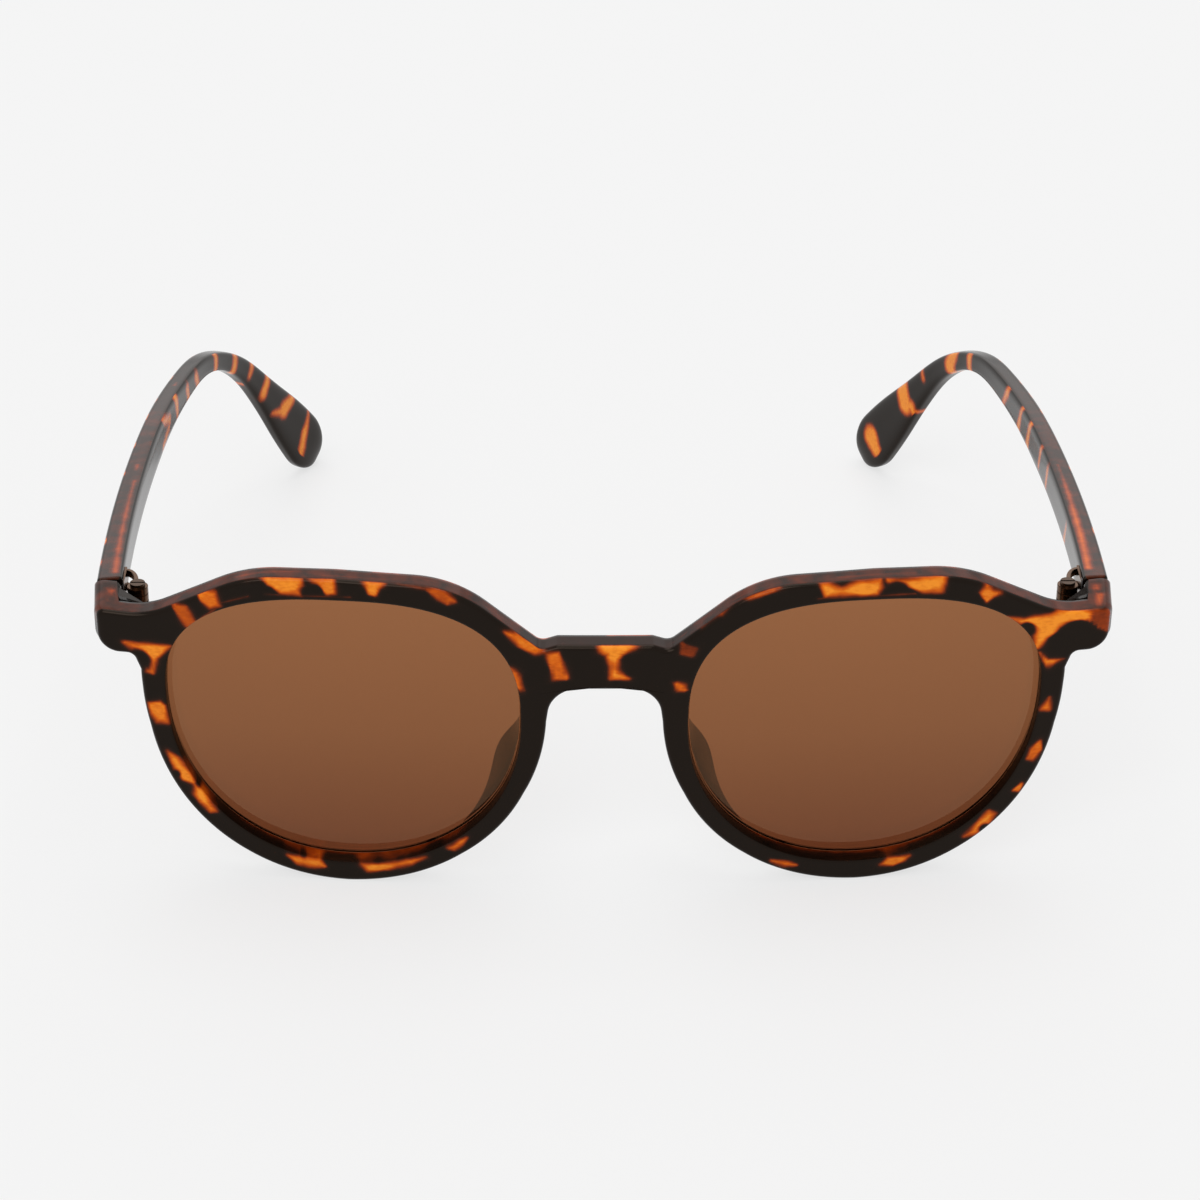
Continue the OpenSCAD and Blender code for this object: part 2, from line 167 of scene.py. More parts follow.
endPiece = {
    "height": 7.1, "drop": 4.1, "reach": 12.75, "thick": 3.7, "slant": 9.0, "topReach": 1.2,
    # how the arm spreads, narrows and turns on its way back to the temple
    "flare": 1.05, "flareFrom": 1.0, "flarePower": 1.2, "risePower": 1.3, "slantPower": 4,
    # the hollow slope on its inner side, and the crease between them
    "hollowY": 5.6, "hollow": 3.0, "hollowPower": 0.4, "hollowEase": 1.4, "creaseR": 0.35, "creaseOver": 1.2,
    # where sections of the rim become sections of the arm
    "inset": 1.6, "below": 1.0, "lastAngle": 45, "least": 0.3, "across": 0.93,
    # the points of such a section, inwards down the slope, and outwards with how far they lie below the end
    "slopeGaps": (2.4, 1.7, 1.2, 0.85, 0.55, 0.32, 0.15, 0.05, 0.0), "slopeEnd": 0.8,
    "endGaps": ((0.0, 0.35), (0.12, 0.1), (0.35, 0.0), (1.2, 0.0), (2.0, 0.0)),
}
temple = {
    "length": 149.91, "thick": 3.85, "tall": 5.7, "parting": 0.15, "stepIn": 0.27, "screwTop": 2.25,
    "earStart": 89.0, "earBend": 29.5, "slope": 3.9, "tipSlope": 48.0, "tipTurn": 4.0, "trim": -0.158,
    "splay": 3.0, "curl": 30.5, "tipT": 2.8, "neckH": 3.0, "tipH": 10.0, "tipRound": 0.78, "rootR": 0.35,
    "turnIn": 6.0, "fit": 0.993,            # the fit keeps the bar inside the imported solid
    "rootSteps": [0, 0.04, 0.1, 0.2, 0.35], "firstStep": 0.6, "step": 0.45, "tipStep": 4,
}

lensX = (front["bridgeW"] + lens["width"]) / 2
openLow = front["rimW"]
openTop = openLow + lens["height"]
lensZ = openLow + lens["height"] / 2
pivotZ = lensZ - front["pivotDrop"]
bridgeTop = openTop - front["bridgeDrop"]
bridgeLow = bridgeTop - front["bridgeH"]
browZ = openTop + front["browH"]
lugTop = openTop - endPiece["drop"]
lugLow = lugTop - endPiece["height"]
lugX = front["width"] / 2
openOut = front["bridgeW"] / 2 + lens["width"]
noseEdge = front["bridgeW"] / 2 - front["noseW"]
tiltSin, tiltCos = sinCos(front["tilt"])
armIn = lugX + endPiece["flare"] - endPiece["thick"]
armMid = lugX + endPiece["flare"] - endPiece["thick"] / 2
slantTan = math.tan(math.radians(endPiece["slant"]))
templeTop = (lugTop - pivotZ) * tiltCos + pivotZ + (endPiece["reach"] + endPiece["topReach"]) * tiltSin

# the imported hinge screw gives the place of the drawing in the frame
screwLow, screwHigh = [Vector(corner) * 1000 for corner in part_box("hinge_screw_right")]
shiftY = endPiece["reach"] + temple["parting"] / 2 - (screwLow.y + screwHigh.y) / 2
shiftZ = templeTop - temple["tall"] / 2 + temple["screwTop"] - screwHigh.z
print("drawing placed, back by", round(-shiftY, 3), "mm and up by", round(-shiftZ, 3), "mm")


def opening(t):
    # the lens opening at angle t: a full ellipse whose widest points lie above its middle
    s, c = sinCos(t)
    side = lensZ + (lens["crownSide"] if c >= 0 else lens["crownNose"])
    power = 2 / (lens["fullTop"] if s >= 0 else lens["fullLow"])
    u, v = abs(c) ** power, abs(s) ** power
    return Vector((lensX + math.copysign(lens["width"] / 2 * u, c),
                   mix(side, openTop if s >= 0 else openLow, v)))


def intoRim(t):
    # the direction from the opening's edge into the plastic
    d = (opening(t + 1) - opening(t - 1)).normalized()
    return Vector((d.y, -d.x))


def wrapBack(x):
    # how far back the wrapped front has come at x
    return x ** 2 / (2 * front["wrapR"])


def tilted(x, d, z):
    # from the wrapped drawing, at depth d, to the frame in metres
    return (x * mm, (d * tiltCos - (z - pivotZ) * tiltSin - shiftY) * mm,
            (pivotZ + (z - pivotZ) * tiltCos + d * tiltSin - shiftZ) * mm)


lensYaw = math.asin(lensX / front["wrapR"])
lensCentre = Vector((lensX - lens["radius"] * math.sin(lensYaw),
                     wrapBack(lensX) + lens["set"] + lens["radius"] * math.cos(lensYaw), lensZ))


def lensFace(p, g):
    # the depth of the lens at p, g below its front face
    dx, dz, r = p.x - lensCentre.x, p.y - lensCentre.z, lens["radius"] - g
    return lensCentre.y - math.sqrt(r * r - dx * dx - dz * dz)


def makeLens(name, side):
    edge, bevel = -lens["play"], front["groove"] - lens["play"] - lens["gap"]
    thick, corner, depth = lens["thick"], lens["corner"], lens["cornerDepth"]
    bevelFrom, bevelTo = (thick - lens["bevel"]) / 2, (thick + lens["bevel"]) / 2
    ways = [0.08, 0.2, 0.35, 0.5, 0.65, 0.8, 0.92]
    # each ring is a part of the way out from the middle, how far past the opening, and how deep
    rings = [(way, edge, 0) for way in ways]
    rings += [(1, edge - corner, 0), (1, edge, depth), (1, edge, bevelFrom), (1, bevel, bevelFrom + depth),
              (1, bevel, bevelTo - depth), (1, edge, bevelTo), (1, edge, thick - depth),
              (1, edge - corner, thick)]
    rings += [(way, edge, thick) for way in reversed(ways)]
    middle, count = Vector((lensX, lensZ)), lens["turns"]
    vertices, faces = [], []
    for way, past, g in rings:
        for k in range(count):
            t = 360 * k / count
            p = mix(middle, opening(t) + intoRim(t) * past, way)
            vertices.append(tilted(side * p.x, lensFace(p, g), p.y))
    for i in range(len(rings) - 1):
        for j in range(count):
            j2 = (j + 1) % count
            faces.append([i * count + j, i * count + j2, (i + 1) * count + j2, (i + 1) * count + j])
    for g, row in ((0, 0), (thick, len(rings) - 1)):
        vertices.append(tilted(side * middle.x, lensFace(middle, g), middle.y))
        for j in range(count):
            faces.append([len(vertices) - 1, row * count + j, row * count + (j + 1) % count])
    piece = meshObject(name, vertices, faces)
    cleanMesh(piece, 15)
    return piece


lensRight = makeLens("lensRight", 1)
lensLeft = makeLens("lensLeft", -1)
print("lenses made")

# corners of the front's outline, from under the end piece over the brow to the nose:
# x, z, corner radius, and the angle on the opening that they face
lugW = lugX - openOut
browCorners = [
    (openOut + 0.402 * lugW, lugLow - 2.4, 0, 8),
    (openOut + 0.455 * lugW, lugLow, 1.3, 12),
    (lugX, lugLow, 3, 18.5),
    (lugX, lugTop, 1.2, 32),
    (openOut + 0.233 * lugW, lugTop - 0.35, 11, 41),
    (lensX + 0.256 * lens["width"], browZ - 0.2, 20, 66),
    (lensX + 0.5, browZ + 0.05, 40, 89),
    (lensX - 0.318 * lens["width"], browZ - 0.65, 17, 119),
    (noseEdge + 0.8, bridgeTop - 0.8, 1.6, 150),
    (noseEdge - 1.6, bridgeTop, 1.5, 158),
    (0, bridgeTop, 0, 161),
    (0, bridgeLow, 0, 171),
    (noseEdge - 0.8, bridgeLow, 4.6, 174),
    (noseEdge, lensZ + lens["crownNose"], 0, 180),
]
# the rim's width around the rest of the opening
rimWidths = [(180, front["noseW"]), (205, front["rimW"] - 0.6), (235, front["rimW"] - 0.6),
             (270, front["rimW"]), (300, front["rimW"] - 0.3), (350, front["rimW"] - 0.4),
             (368, front["rimW"] + 0.2)]


def cornerStations(k):
    # x, z, the angle on the opening, and the direction into the plastic, around one corner
    x, z, r, t = browCorners[k]
    corner, before, after = [Vector(browCorners[j][:2]) for j in (k, k - 1, k + 1)]
    a, b = (corner - before).normalized(), (after - corner).normalized()
    if r == 0:
        way = a if abs(a.x) > 0.5 else b
        return [(x, z, t, -way.y, way.x)]
    bend = math.atan2(a.x * b.y - a.y * b.x, a.dot(b))
    turn = math.copysign(1, bend)
    start = corner - a * r * math.tan(abs(bend) / 2)
    run = (corner - before).length + (after - corner).length
    angleRun = (browCorners[k + 1][3] - browCorners[k - 1][3]) * r * abs(bend) / run
    stations = []
    for j in range(front["arcSteps"] + 1):
        u = j / front["arcSteps"]
        way = Vector((a.x * math.cos(bend * u) - a.y * math.sin(bend * u),
                      a.x * math.sin(bend * u) + a.y * math.cos(bend * u)))
        p = start + turn * r * (Vector((-a.y, a.x)) - Vector((-way.y, way.x)))
        stations.append((p.x, p.y, t + angleRun * (u - 0.5), -way.y, way.x))
    return stations


def isMiddle(station):
    return abs(station[0]) < 1e-6


def outlineStations():
    stations = []
    for k in range(1, len(browCorners) - 1):
        corner = cornerStations(k)
        if stations:
            p, q = stations[-1], corner[0]
            n = max(1, math.ceil(math.hypot(q[0] - p[0], q[1] - p[1]) / front["lineStep"]))
            middle = isMiddle(p) and isMiddle(q)
            way = Vector((q[0] - p[0], q[1] - p[1])).normalized()
            inward = (0, 0) if middle else (-way.y, way.x)
            for j in range(1, n):
                # the middle line keeps clear of the rounded edges
                u = mix(0.2, 0.8, (j - 1) / (n - 2)) if middle else j / n
                stations.append(tuple(mix(p[i], q[i], u) for i in range(3)) + inward)
        stations += corner
    t = browCorners[-1][3]
    while t < rimWidths[-1][0] - 1:
        out = intoRim(t)
        p = opening(t) + out * lookup(t, rimWidths)
        stations.append((p.x, p.y, t, -out.x, -out.y))
        t += front["ringStep"]
    return stations


# nose pads: how far they stand back and in, from which angle to which, and their shape
pad = {"deep": 5.8, "flare": 2.2, "from": 176.0, "to": 232.0, "lead": 0.92, "swell": 1.35, "lean": 0.8,
       "edge": 0.5, "fall": 0.4, "bulge": 0.35, "shoulder": 2.5, "foot": 1.2, "footHeight": 0.28}
# how many points each stretch of a section has, and at which angles its roundings have theirs
chamferTurns, roundTurns = (0, 45, 90), (0, 22.5, 45, 67.5, 90)
groovePoints, backPoints, wallPoints, faceStrips = 4, 14, 8, 18


def padShare(t):
    if t <= pad["from"] or t >= pad["to"]:
        return 0.0
    return math.sin(math.pi * share(t, pad["from"], pad["to"]) ** pad["lead"]) ** pad["swell"]


def wrapped(p, d):
    # a point of the flat drawing, d behind the face, on the wrapped front
    return [p.x, d + wrapBack(p.x), p.y]


def tiltedDepth(p, d):
    # the depth that the same point has once the front is tilted
    return (d + wrapBack(p.x)) * tiltCos - (p.y - pivotZ) * tiltSin


def armReach(x):
    # how far back the end piece reaches over x: a hollow slope on the arm's inner side
    arm = endPiece
    if x >= armIn:
        return arm["reach"]
    k = ((armIn - x) / arm["hollow"]) ** arm["hollowPower"]
    return mix(arm["hollowY"], arm["reach"], max(0.0, (1 - k) / arm["hollowEase"]))


def armPoint(p, y):
    # a point of the arm, drawn at the front and moved back to the tilted depth y
    arm = endPiece
    q, spread = share(y, arm["hollowY"], arm["reach"]), share(y, arm["flareFrom"], arm["reach"])
    x = p.x + arm["flare"] * spread ** arm["flarePower"] * share(p.x, armIn, lugX)
    low = clamp(1 - (p.y - lugLow) / arm["height"])
    z = p.y + (arm["height"] - temple["tall"]) * q ** arm["risePower"] * low
    y += slantTan * (x - armMid) * q ** arm["slantPower"]
    return [x, (y + (z - pivotZ) * tiltSin) / tiltCos, z]


def openingWall(mouth, out, padIn, w):
    # the opening's front chamfer, the lens groove and the inner edge of the back
    ch = front["chamfer"]
    deep = mouth + out * front["groove"]
    near = (lens["thick"] - lens["bevel"]) / 2 - lens["play"]
    far = (lens["thick"] + lens["bevel"]) / 2 + lens["play"]
    points = []
    for a in chamferTurns:
        s, c = sinCos(a)
        points.append(wrapped(mouth + out * ch * (1 - s), ch * (1 - c)))
    for p, g in ((mouth, near), (deep, near), (deep, far), (mouth, far)):
        points.append([p.x, lensFace(p, g), p.y])
    inner, top = mix(mouth, padIn, pad["lean"] * w), padIn + out * (ch + pad["edge"] * w)
    for a in chamferTurns:
        s, c = sinCos(a)
        p = mix(inner, top, 1 - c) if w else mouth + out * ch * (1 - c)
        points.append(wrapped(p, front["thick"] - ch * (1 - s) + (pad["deep"] - pad["fall"] * (1 - s)) * w))
    return points


def rimBack(edge, inward, out, padIn, w):
    # the rim's back, which swells into the pad, its rounded outer edge and the outer wall
    thick, backR, foot = front["thick"], front["backR"], pad["flare"] + pad["edge"]
    start = padIn + out * (front["chamfer"] + pad["edge"] * w)
    end = edge + inward * (backR * (1 - w) + foot * w)
    points = []
    for k in range(1, backPoints + 1):
        u = k / (backPoints + 1)
        bulge = pad["bulge"] * w * math.sin(math.pi * u)
        d = thick + mix(pad["deep"], pad["deep"] - pad["fall"], u) * w + bulge
        points.append(wrapped(mix(start, end, u), d))
    grow, rise = 1 + pad["shoulder"] * w, (pad["deep"] - pad["fall"]) * w
    for a in roundTurns:
        s, c = sinCos(a)
        p = edge + inward * backR * (1 - s) * (1 - w)
        p = p + inward * foot * w * (1 - s) + inward * pad["foot"] * w * s
        d = thick - backR * (1 - c) * grow + rise * (1 - (1 - pad["footHeight"]) * s * s)
        points.append(wrapped(p, d))
    wallBack = thick - backR * grow + rise * pad["footHeight"]
    for k in range(1, wallPoints + 1):
        u = k / (wallPoints + 1)
        p = edge + inward * pad["foot"] * w * (1 - smooth(u))
        points.append(wrapped(p, mix(wallBack, front["edgeR"], u)))
    return points


def endPieceBack(x, edge, inward, mouth, reach):
    # the slope behind the rim and the arm's end face, its rounded outer edge and the outer wall
    arm = endPiece
    backR = mix(arm["creaseR"], front["backR"], clamp((armIn - x) / arm["creaseOver"]))
    start = edge + inward * backR

    def over(v):
        # the section's point at x = v
        return mix(start, mouth, clamp((x - v) / (x - mouth.x), 0, arm["across"]))

    points = []
    for gap in arm["slopeGaps"]:
        v = armIn - gap
        slope = armReach(min(v, x)) if gap else mix(arm["hollowY"], arm["reach"], arm["slopeEnd"])
        points.append(armPoint(over(v), max(tiltedDepth(over(v), front["thick"]), slope)))
    for gap, drop in arm["endGaps"]:
        points.append(armPoint(over(armIn + gap), min(reach, arm["reach"] - drop)))
    for a in roundTurns:
        s, c = sinCos(a)
        points.append(armPoint(edge + inward * backR * (1 - s), reach - backR * (1 - c)))
    for k in range(1, wallPoints + 1):
        y = mix(reach - backR, tiltedDepth(edge, front["edgeR"]), k / (wallPoints + 1))
        points.append(armPoint(edge, y))
    return points


def frontSection(station):
    # a closed ring around the plastic, from the opening over the back to the face
    x, z, t, inX, inZ = station
    edge, inward = Vector((x, z)), Vector((inX, inZ))
    mouth, out, w = opening(t), intoRim(t), padShare(t)
    padIn = mouth - out * pad["flare"] * w * w
    isLug = x > armIn - endPiece["inset"] and z > lugLow - endPiece["below"] and t < endPiece["lastAngle"]
    ring = openingWall(mouth, out, padIn, w)
    if isLug and armReach(x) > tiltedDepth(edge, front["thick"]) + endPiece["least"]:
        ring += endPieceBack(x, edge, inward, mouth, armReach(x))
    else:
        ring += rimBack(edge, inward, out, padIn, w)
    for a in roundTurns:
        s, c = sinCos(a)
        ring.append(wrapped(edge + inward * front["edgeR"] * (1 - c), front["edgeR"] * (1 - s)))
    outer, inner = edge + inward * front["edgeR"], mouth + out * front["chamfer"]
    return ring + [wrapped(mix(outer, inner, k / faceStrips), 0) for k in range(1, faceStrips)]


# what each point of a section belongs to when the front is painted
sectionZones = (["face"] * len(chamferTurns) + ["lip"] + ["groove"] * (groovePoints - 1 + len(chamferTurns))
                + ["back"] * (backPoints + len(roundTurns) - 1) + ["wall"] * (wallPoints + 2)
                + ["face"] * (len(roundTurns) - 1 + faceStrips - 1))


def makeFront():
    stations = outlineStations()
    rings = [frontSection(station) for station in stations]
    count = len(sectionZones)
    # the two halves join along the middle line, so the outer wall and its rounded edges are left out there
    openFrom = 2 * len(chamferTurns) + groovePoints + backPoints
    openTo = openFrom + 2 * len(roundTurns) + wallPoints - 1
    vertices, faces, amberAndSheen = [], [], []
    for side in (1, -1):
        base = len(vertices)
        for ring in rings:
            for zone, (x, d, z) in zip(sectionZones, ring):
                vertices.append(tilted(side * x, d, z))
                amberAndSheen.append(frontPaint(side * x, z, d - wrapBack(x), zone))
        for i in range(len(rings)):
            i2 = (i + 1) % len(rings)
            middle = isMiddle(stations[i]) and isMiddle(stations[i2])
            for j in range(count):
                if middle and openFrom <= j < openTo:
                    continue
                j2 = (j + 1) % count
                quad = [base + row * count + j for row in (i, i2)]
                quad += [base + row * count + j2 for row in (i2, i)]
                faces.append(quad if side < 0 else quad[::-1])
    piece = meshObject("frontMoulding", vertices, faces)
    storeFloat(piece.data, "amberAndSheen", amberAndSheen)
    cleanMesh(piece)
    return piece


# the temple's middle line and section, by the distance from its root
earStart, earBend = temple["earStart"], temple["earBend"]
earEnd = earStart + earBend
headings = [(0, -temple["splay"]), (0.34 * earStart, 0), (0.7 * earStart, 0.11 * temple["curl"]),
            (earStart, 0.35 * temple["curl"]), (earEnd, 0.85 * temple["curl"]),
            (temple["length"], temple["curl"])]
slopes = [(earStart, temple["slope"]), (earEnd, temple["tipSlope"]),
          (temple["length"], temple["tipSlope"] + temple["tipTurn"])]
heights = [(0.68 * earStart, temple["tall"]), (earStart + 0.45 * earBend, temple["neckH"]),
           (earEnd + 2, mix(temple["neckH"], temple["tipH"], 0.23)),
           (temple["length"] - temple["tipH"], temple["tipH"])]
thicknesses = [(0, temple["thick"]), (0.68 * earStart, mix(temple["thick"], temple["tipT"], 0.5)),
               (temple["length"], temple["tipT"])]
cornerPowers = [(0, 0.28), (35, 0.32), (earStart, 0.42), (earEnd, 0.5)]     # 0 is square and 1 is round


def softLookup(s, table, reach):
    # the mean over a stretch on both sides, so the table's corners come out soft
    return sum(lookup(s + reach * k / 4, table) for k in range(-4, 5)) / 9


def templeHeading(s):
    a = math.radians(softLookup(s, headings, 4))
    b = math.radians(softLookup(s, slopes, 4) + temple["trim"])
    return Vector((-math.sin(a) * math.cos(b), math.cos(a) * math.cos(b), -math.sin(b)))


def templeStations():
    # points of the middle line, with half the thickness and height, the corner power and the slant at each
    roundEnd = temple["tipRound"] * temple["tipH"]
    cut, first, rootR = temple["length"] - roundEnd, temple["firstStep"], temple["rootR"]
    count = int((cut - first) / temple["step"])
    along = temple["rootSteps"] + [first + k * (cut - first) / count for k in range(count)]
    along += [cut + roundEnd * math.sin(math.radians(a)) for a in range(0, 91, temple["tipStep"])]
    p = Vector((lugX + endPiece["flare"] - temple["stepIn"] - temple["thick"] / 2,
                endPiece["reach"] + temple["parting"], templeTop - temple["tall"] / 2))
    rows, thinnest = [], 0.03
    for k, s in enumerate(along):
        if k:
            p = p + templeHeading((s + along[k - 1]) / 2) * (s - along[k - 1])
        u = clamp((s - cut) / roundEnd)
        inset = rootR - math.sqrt(max(0.0, rootR ** 2 - (rootR - min(s, rootR)) ** 2))
        thick = lookup(s, thicknesses) * math.sqrt(1 - u ** 4)
        tall = softLookup(s, heights, 7) * math.sqrt(1 - u * u)
        rows.append({"place": Vector((p.x, p.y - shiftY, p.z - shiftZ)), "barAlong": s,
                     "barThick": max(thinnest, temple["fit"] * thick / 2 - inset) * mm,
                     "barTall": max(thinnest, temple["fit"] * tall / 2 - inset) * mm,
                     "barPower": lookup(s, cornerPowers),
                     "barSlant": slantTan * (1 - smooth(s / temple["turnIn"]))})
    return rows


def sectionLoop():
    # a unit circle with its points gathered so that they spread evenly over a rounded rectangle
    gather, steps = 2.6, 9
    high = [math.acos((k / steps) ** gather) for k in range(steps - 1, -1, -1)]
    low = [math.asin((k / steps) ** gather) for k in range(1, steps)]
    corner = [math.radians(a) for a in (52, 48, 45, 42, 38)]
    quadrant = sorted(set(round(a, 6) for a in low + corner + high))
    angles = [a + turn * math.pi / 2 for turn in range(4) for a in quadrant]
    loop = meshObject("sectionLoop", [(math.cos(a), math.sin(a), 0) for a in angles], [])
    chainEdges(loop.data, True)
    return loop


def sweepTree():
    # sweeps the section along the line and gives it the stored size, corners and slant at each point
    tree = bpy.data.node_groups.new("sweepBar", "GeometryNodeTree")
    for name, kind in (("Line", "Geometry"), ("Section", "Object"), ("Material", "Material")):
        tree.interface.new_socket(name, in_out="INPUT", socket_type="NodeSocket" + kind)
    tree.interface.new_socket("Bar", in_out="OUTPUT", socket_type="NodeSocketGeometry")
    given = addNode(tree, "NodeGroupInput")
    curve = addNode(tree, "GeometryNodeMeshToCurve", links={0: given.outputs["Line"]})
    kept = addNode(tree, "GeometryNodeSetCurveNormal", {"mode": "Z_UP"}, {0: curve})
    # the line's points keep their place and three directions for the swept mesh
    normal = addNode(tree, "GeometryNodeInputNormal")
    tangent = addNode(tree, "GeometryNodeInputTangent")
    up = addNode(tree, "ShaderNodeVectorMath", {"operation": "CROSS_PRODUCT"}, {0: normal, 1: tangent})
    place = addNode(tree, "GeometryNodeInputPosition")
    fields = {"barPlace": place, "barSide": normal, "barWay": tangent, "barUp": up}
    for name, field in fields.items():
        kept = addNode(tree, "GeometryNodeStoreNamedAttribute",
                       {"data_type": "FLOAT_VECTOR", "domain": "POINT", "Name": name},
                       {"Geometry": kept, "Value": field})
    # the section's points keep their own two numbers
    section = addNode(tree, "GeometryNodeObjectInfo", links={"Object": given.outputs["Section"]})
    profile = addNode(tree, "GeometryNodeMeshToCurve", links={0: section.outputs["Geometry"]})
    spot = addNode(tree, "ShaderNodeSeparateXYZ", links={0: place})
    for name, axis in (("secX", 0), ("secY", 1)):
        profile = addNode(tree, "GeometryNodeStoreNamedAttribute",
                          {"data_type": "FLOAT", "domain": "POINT", "Name": name},
                          {"Geometry": profile, "Value": spot.outputs[axis]})
    swept = addNode(tree, "GeometryNodeCurveToMesh", {"Fill Caps": True},
                    {"Curve": kept, "Profile Curve": profile})
    stored = {}
    for name in list(fields) + ["secX", "secY", "barThick", "barTall", "barPower", "barSlant"]:
        kind = "FLOAT_VECTOR" if name in fields else "FLOAT"
        stored[name] = addNode(tree, "GeometryNodeInputNamedAttribute", {"data_type": kind, "Name": name})
    # each number of the section is pushed towards the square and scaled to half the bar's size
    total = stored["barPlace"]
    for direction, number, width in (("barSide", "secX", "barThick"), ("barUp", "secY", "barTall")):
        size = addNode(tree, "ShaderNodeMath", {"operation": "ABSOLUTE"}, {0: stored[number]})
        sign = addNode(tree, "ShaderNodeMath", {"operation": "SIGN"}, {0: stored[number]})
        square = addNode(tree, "ShaderNodeMath", {"operation": "POWER"}, {0: size, 1: stored["barPower"]})
        signed = addNode(tree, "ShaderNodeMath", {"operation": "MULTIPLY"}, {0: square, 1: sign})
        half = addNode(tree, "ShaderNodeMath", {"operation": "MULTIPLY"}, {0: signed, 1: stored[width]})
        move = addNode(tree, "ShaderNodeVectorMath", {"operation": "SCALE"},
                       {0: stored[direction], "Scale": half})
        total = addNode(tree, "ShaderNodeVectorMath", {"operation": "ADD"}, {0: total, 1: move})
        if number == "secX":
            # the root's end face is slanted, so one side lags
            slant = addNode(tree, "ShaderNodeMath", {"operation": "MULTIPLY"},
                            {0: half, 1: stored["barSlant"]})
            lag = addNode(tree, "ShaderNodeVectorMath", {"operation": "SCALE"},
                          {0: stored["barWay"], "Scale": slant})
            total = addNode(tree, "ShaderNodeVectorMath", {"operation": "ADD"}, {0: total, 1: lag})
    placed = addNode(tree, "GeometryNodeSetPosition", links={"Geometry": swept, "Position": total})
    real = addNode(tree, "GeometryNodeRealizeInstances", links={0: placed})
    coloured = addNode(tree, "GeometryNodeSetMaterial",
                       links={"Geometry": real, "Material": given.outputs["Material"]})
    addNode(tree, "NodeGroupOutput", links={0: coloured})
    return tree


def runNodes(piece, tree, inputs):
    # the inputs are set by identifier before the piece is first evaluated, and the result becomes its mesh
    modifier = piece.modifiers.new("nodes", "NODES")
    modifier.node_group = tree
    for item in tree.interface.items_tree:
        if item.item_type == "SOCKET" and item.in_out == "INPUT" and item.name in inputs:
            modifier[item.identifier] = inputs[item.name]
    graph = bpy.context.evaluated_depsgraph_get()
    mesh = bpy.data.meshes.new_from_object(piece.evaluated_get(graph))
    piece.modifiers.clear()
    piece.data = mesh


barTree = sweepTree()


def makeTemple(name, side, material, section):
    rows = templeStations()
    points = [(side * row["place"].x * mm, row["place"].y * mm, row["place"].z * mm) for row in rows]
    piece = meshObject(name, points, [])
    chainEdges(piece.data, False)
    for key in ("barAlong", "barThick", "barTall", "barPower", "barSlant"):
        storeFloat(piece.data, key, [row[key] for row in rows])
    runNodes(piece, barTree, {"Section": section, "Material": material})
    cleanMesh(piece, 45, 0.004)
    return piece


tortoiseLook = {
    # one end is the dark ground and the other is the middle of an amber patch
    "stops": [(0.0, "#0A0604"), (0.22, "#110805"), (0.38, "#260E07"), (0.5, "#642206"),
              (0.6, "#9E3A07"), (0.76, "#DA6209"), (1.0, "#FC9728")],
    # how many mm a waver of the patch edges and a flow line take, and how strong they are
    "waverSize": 2.381, "waver": 0.05, "streakSize": 0.3846, "streak": 0.08, "streakStretch": (0.4, 1.0, 1.0),
    "roughness": 0.16, "ior": 1.49, "specular": 0.18, "tint": "#FFE3CD",
}
lensLook = {
    # from its lower edge to its upper one, whose heights are in metres
    "stops": [(0.0, "#6C3921"), (0.48, "#865334"), (1.0, "#945F3D")], "from": 0.004, "to": 0.05,
    "ior": 1.5, "specular": 0.2, "tint": "#FFCF9E",
}
metalLooks = {
    "leaf": {"name": "gunmetalNickelSilverStamped", "color": "#5C4433", "roughness": 0.22, "broken": 0.06},
    "screw": {"name": "gunmetalSteelTurned", "color": "#4A382B", "roughness": 0.26, "broken": 0.05},
    "tumbleSize": 0.4, "stretch": (1.0, 1.0, 6.0), "less": 0.08, "more": 0.12,
}


def setStops(ramp, stops):
    elements = ramp.color_ramp.elements
    while len(elements) < len(stops):
        elements.new(0.5)
    for element, (spot, code) in zip(elements, stops):
        element.position = spot
        element.color = hexColor(code)


def makeTortoise():
    # tortoise polycarbonate, injection moulded and tumbled:
    # a near-black brown with glowing amber patches under a gloss
    look = tortoiseLook
    material, tree = newMaterial("tortoisePolycarbonateMoulded")
    place = addNode(tree, "ShaderNodeTexCoord").outputs["Object"]
    # the stored value holds the amber pattern together with painted highlight lines and a painted sheen on
    # the top faces
    patchAndSheen = addNode(tree, "ShaderNodeAttribute", {"attribute_name": "amberAndSheen"}).outputs["Fac"]
    # the patch edges waver, and flow lines run across the pair inside the patches
    stretched = addNode(tree, "ShaderNodeMapping", {"Scale": look["streakStretch"]}, {"Vector": place})
    swings = []
    for size, reach, source in ((look["waverSize"], look["waver"], place),
                                (look["streakSize"], look["streak"], stretched)):
        noise = addNode(tree, "ShaderNodeTexNoise", {"Scale": 1 / (size * mm), "Detail": 2.0},
                        {"Vector": source})
        # the middle of the noise's range becomes -reach to +reach
        ends = {"From Min": 0.3, "From Max": 0.7, "To Min": -reach, "To Max": reach}
        swings.append(addNode(tree, "ShaderNodeMapRange", ends, {"Value": noise}))
    edge = addNode(tree, "ShaderNodeMath", {"operation": "ADD"}, {0: patchAndSheen, 1: swings[0]})
    inside = addNode(tree, "ShaderNodeMath", {"operation": "POWER", 1: 3.0}, {0: patchAndSheen})
    lines = addNode(tree, "ShaderNodeMath", {"operation": "MULTIPLY"}, {0: inside, 1: swings[1]})
    total = addNode(tree, "ShaderNodeMath", {"operation": "ADD"}, {0: edge, 1: lines})
    ramp = addNode(tree, "ShaderNodeValToRGB", links={"Fac": total})
    setStops(ramp, look["stops"])
    shader = addNode(tree, "ShaderNodeBsdfPrincipled",
                     {"Roughness": look["roughness"], "IOR": look["ior"],
                      "Specular IOR Level": look["specular"], "Specular Tint": hexColor(look["tint"])},
                     {"Base Color": ramp})
    addNode(tree, "ShaderNodeOutputMaterial", links={"Surface": shader})
    return material


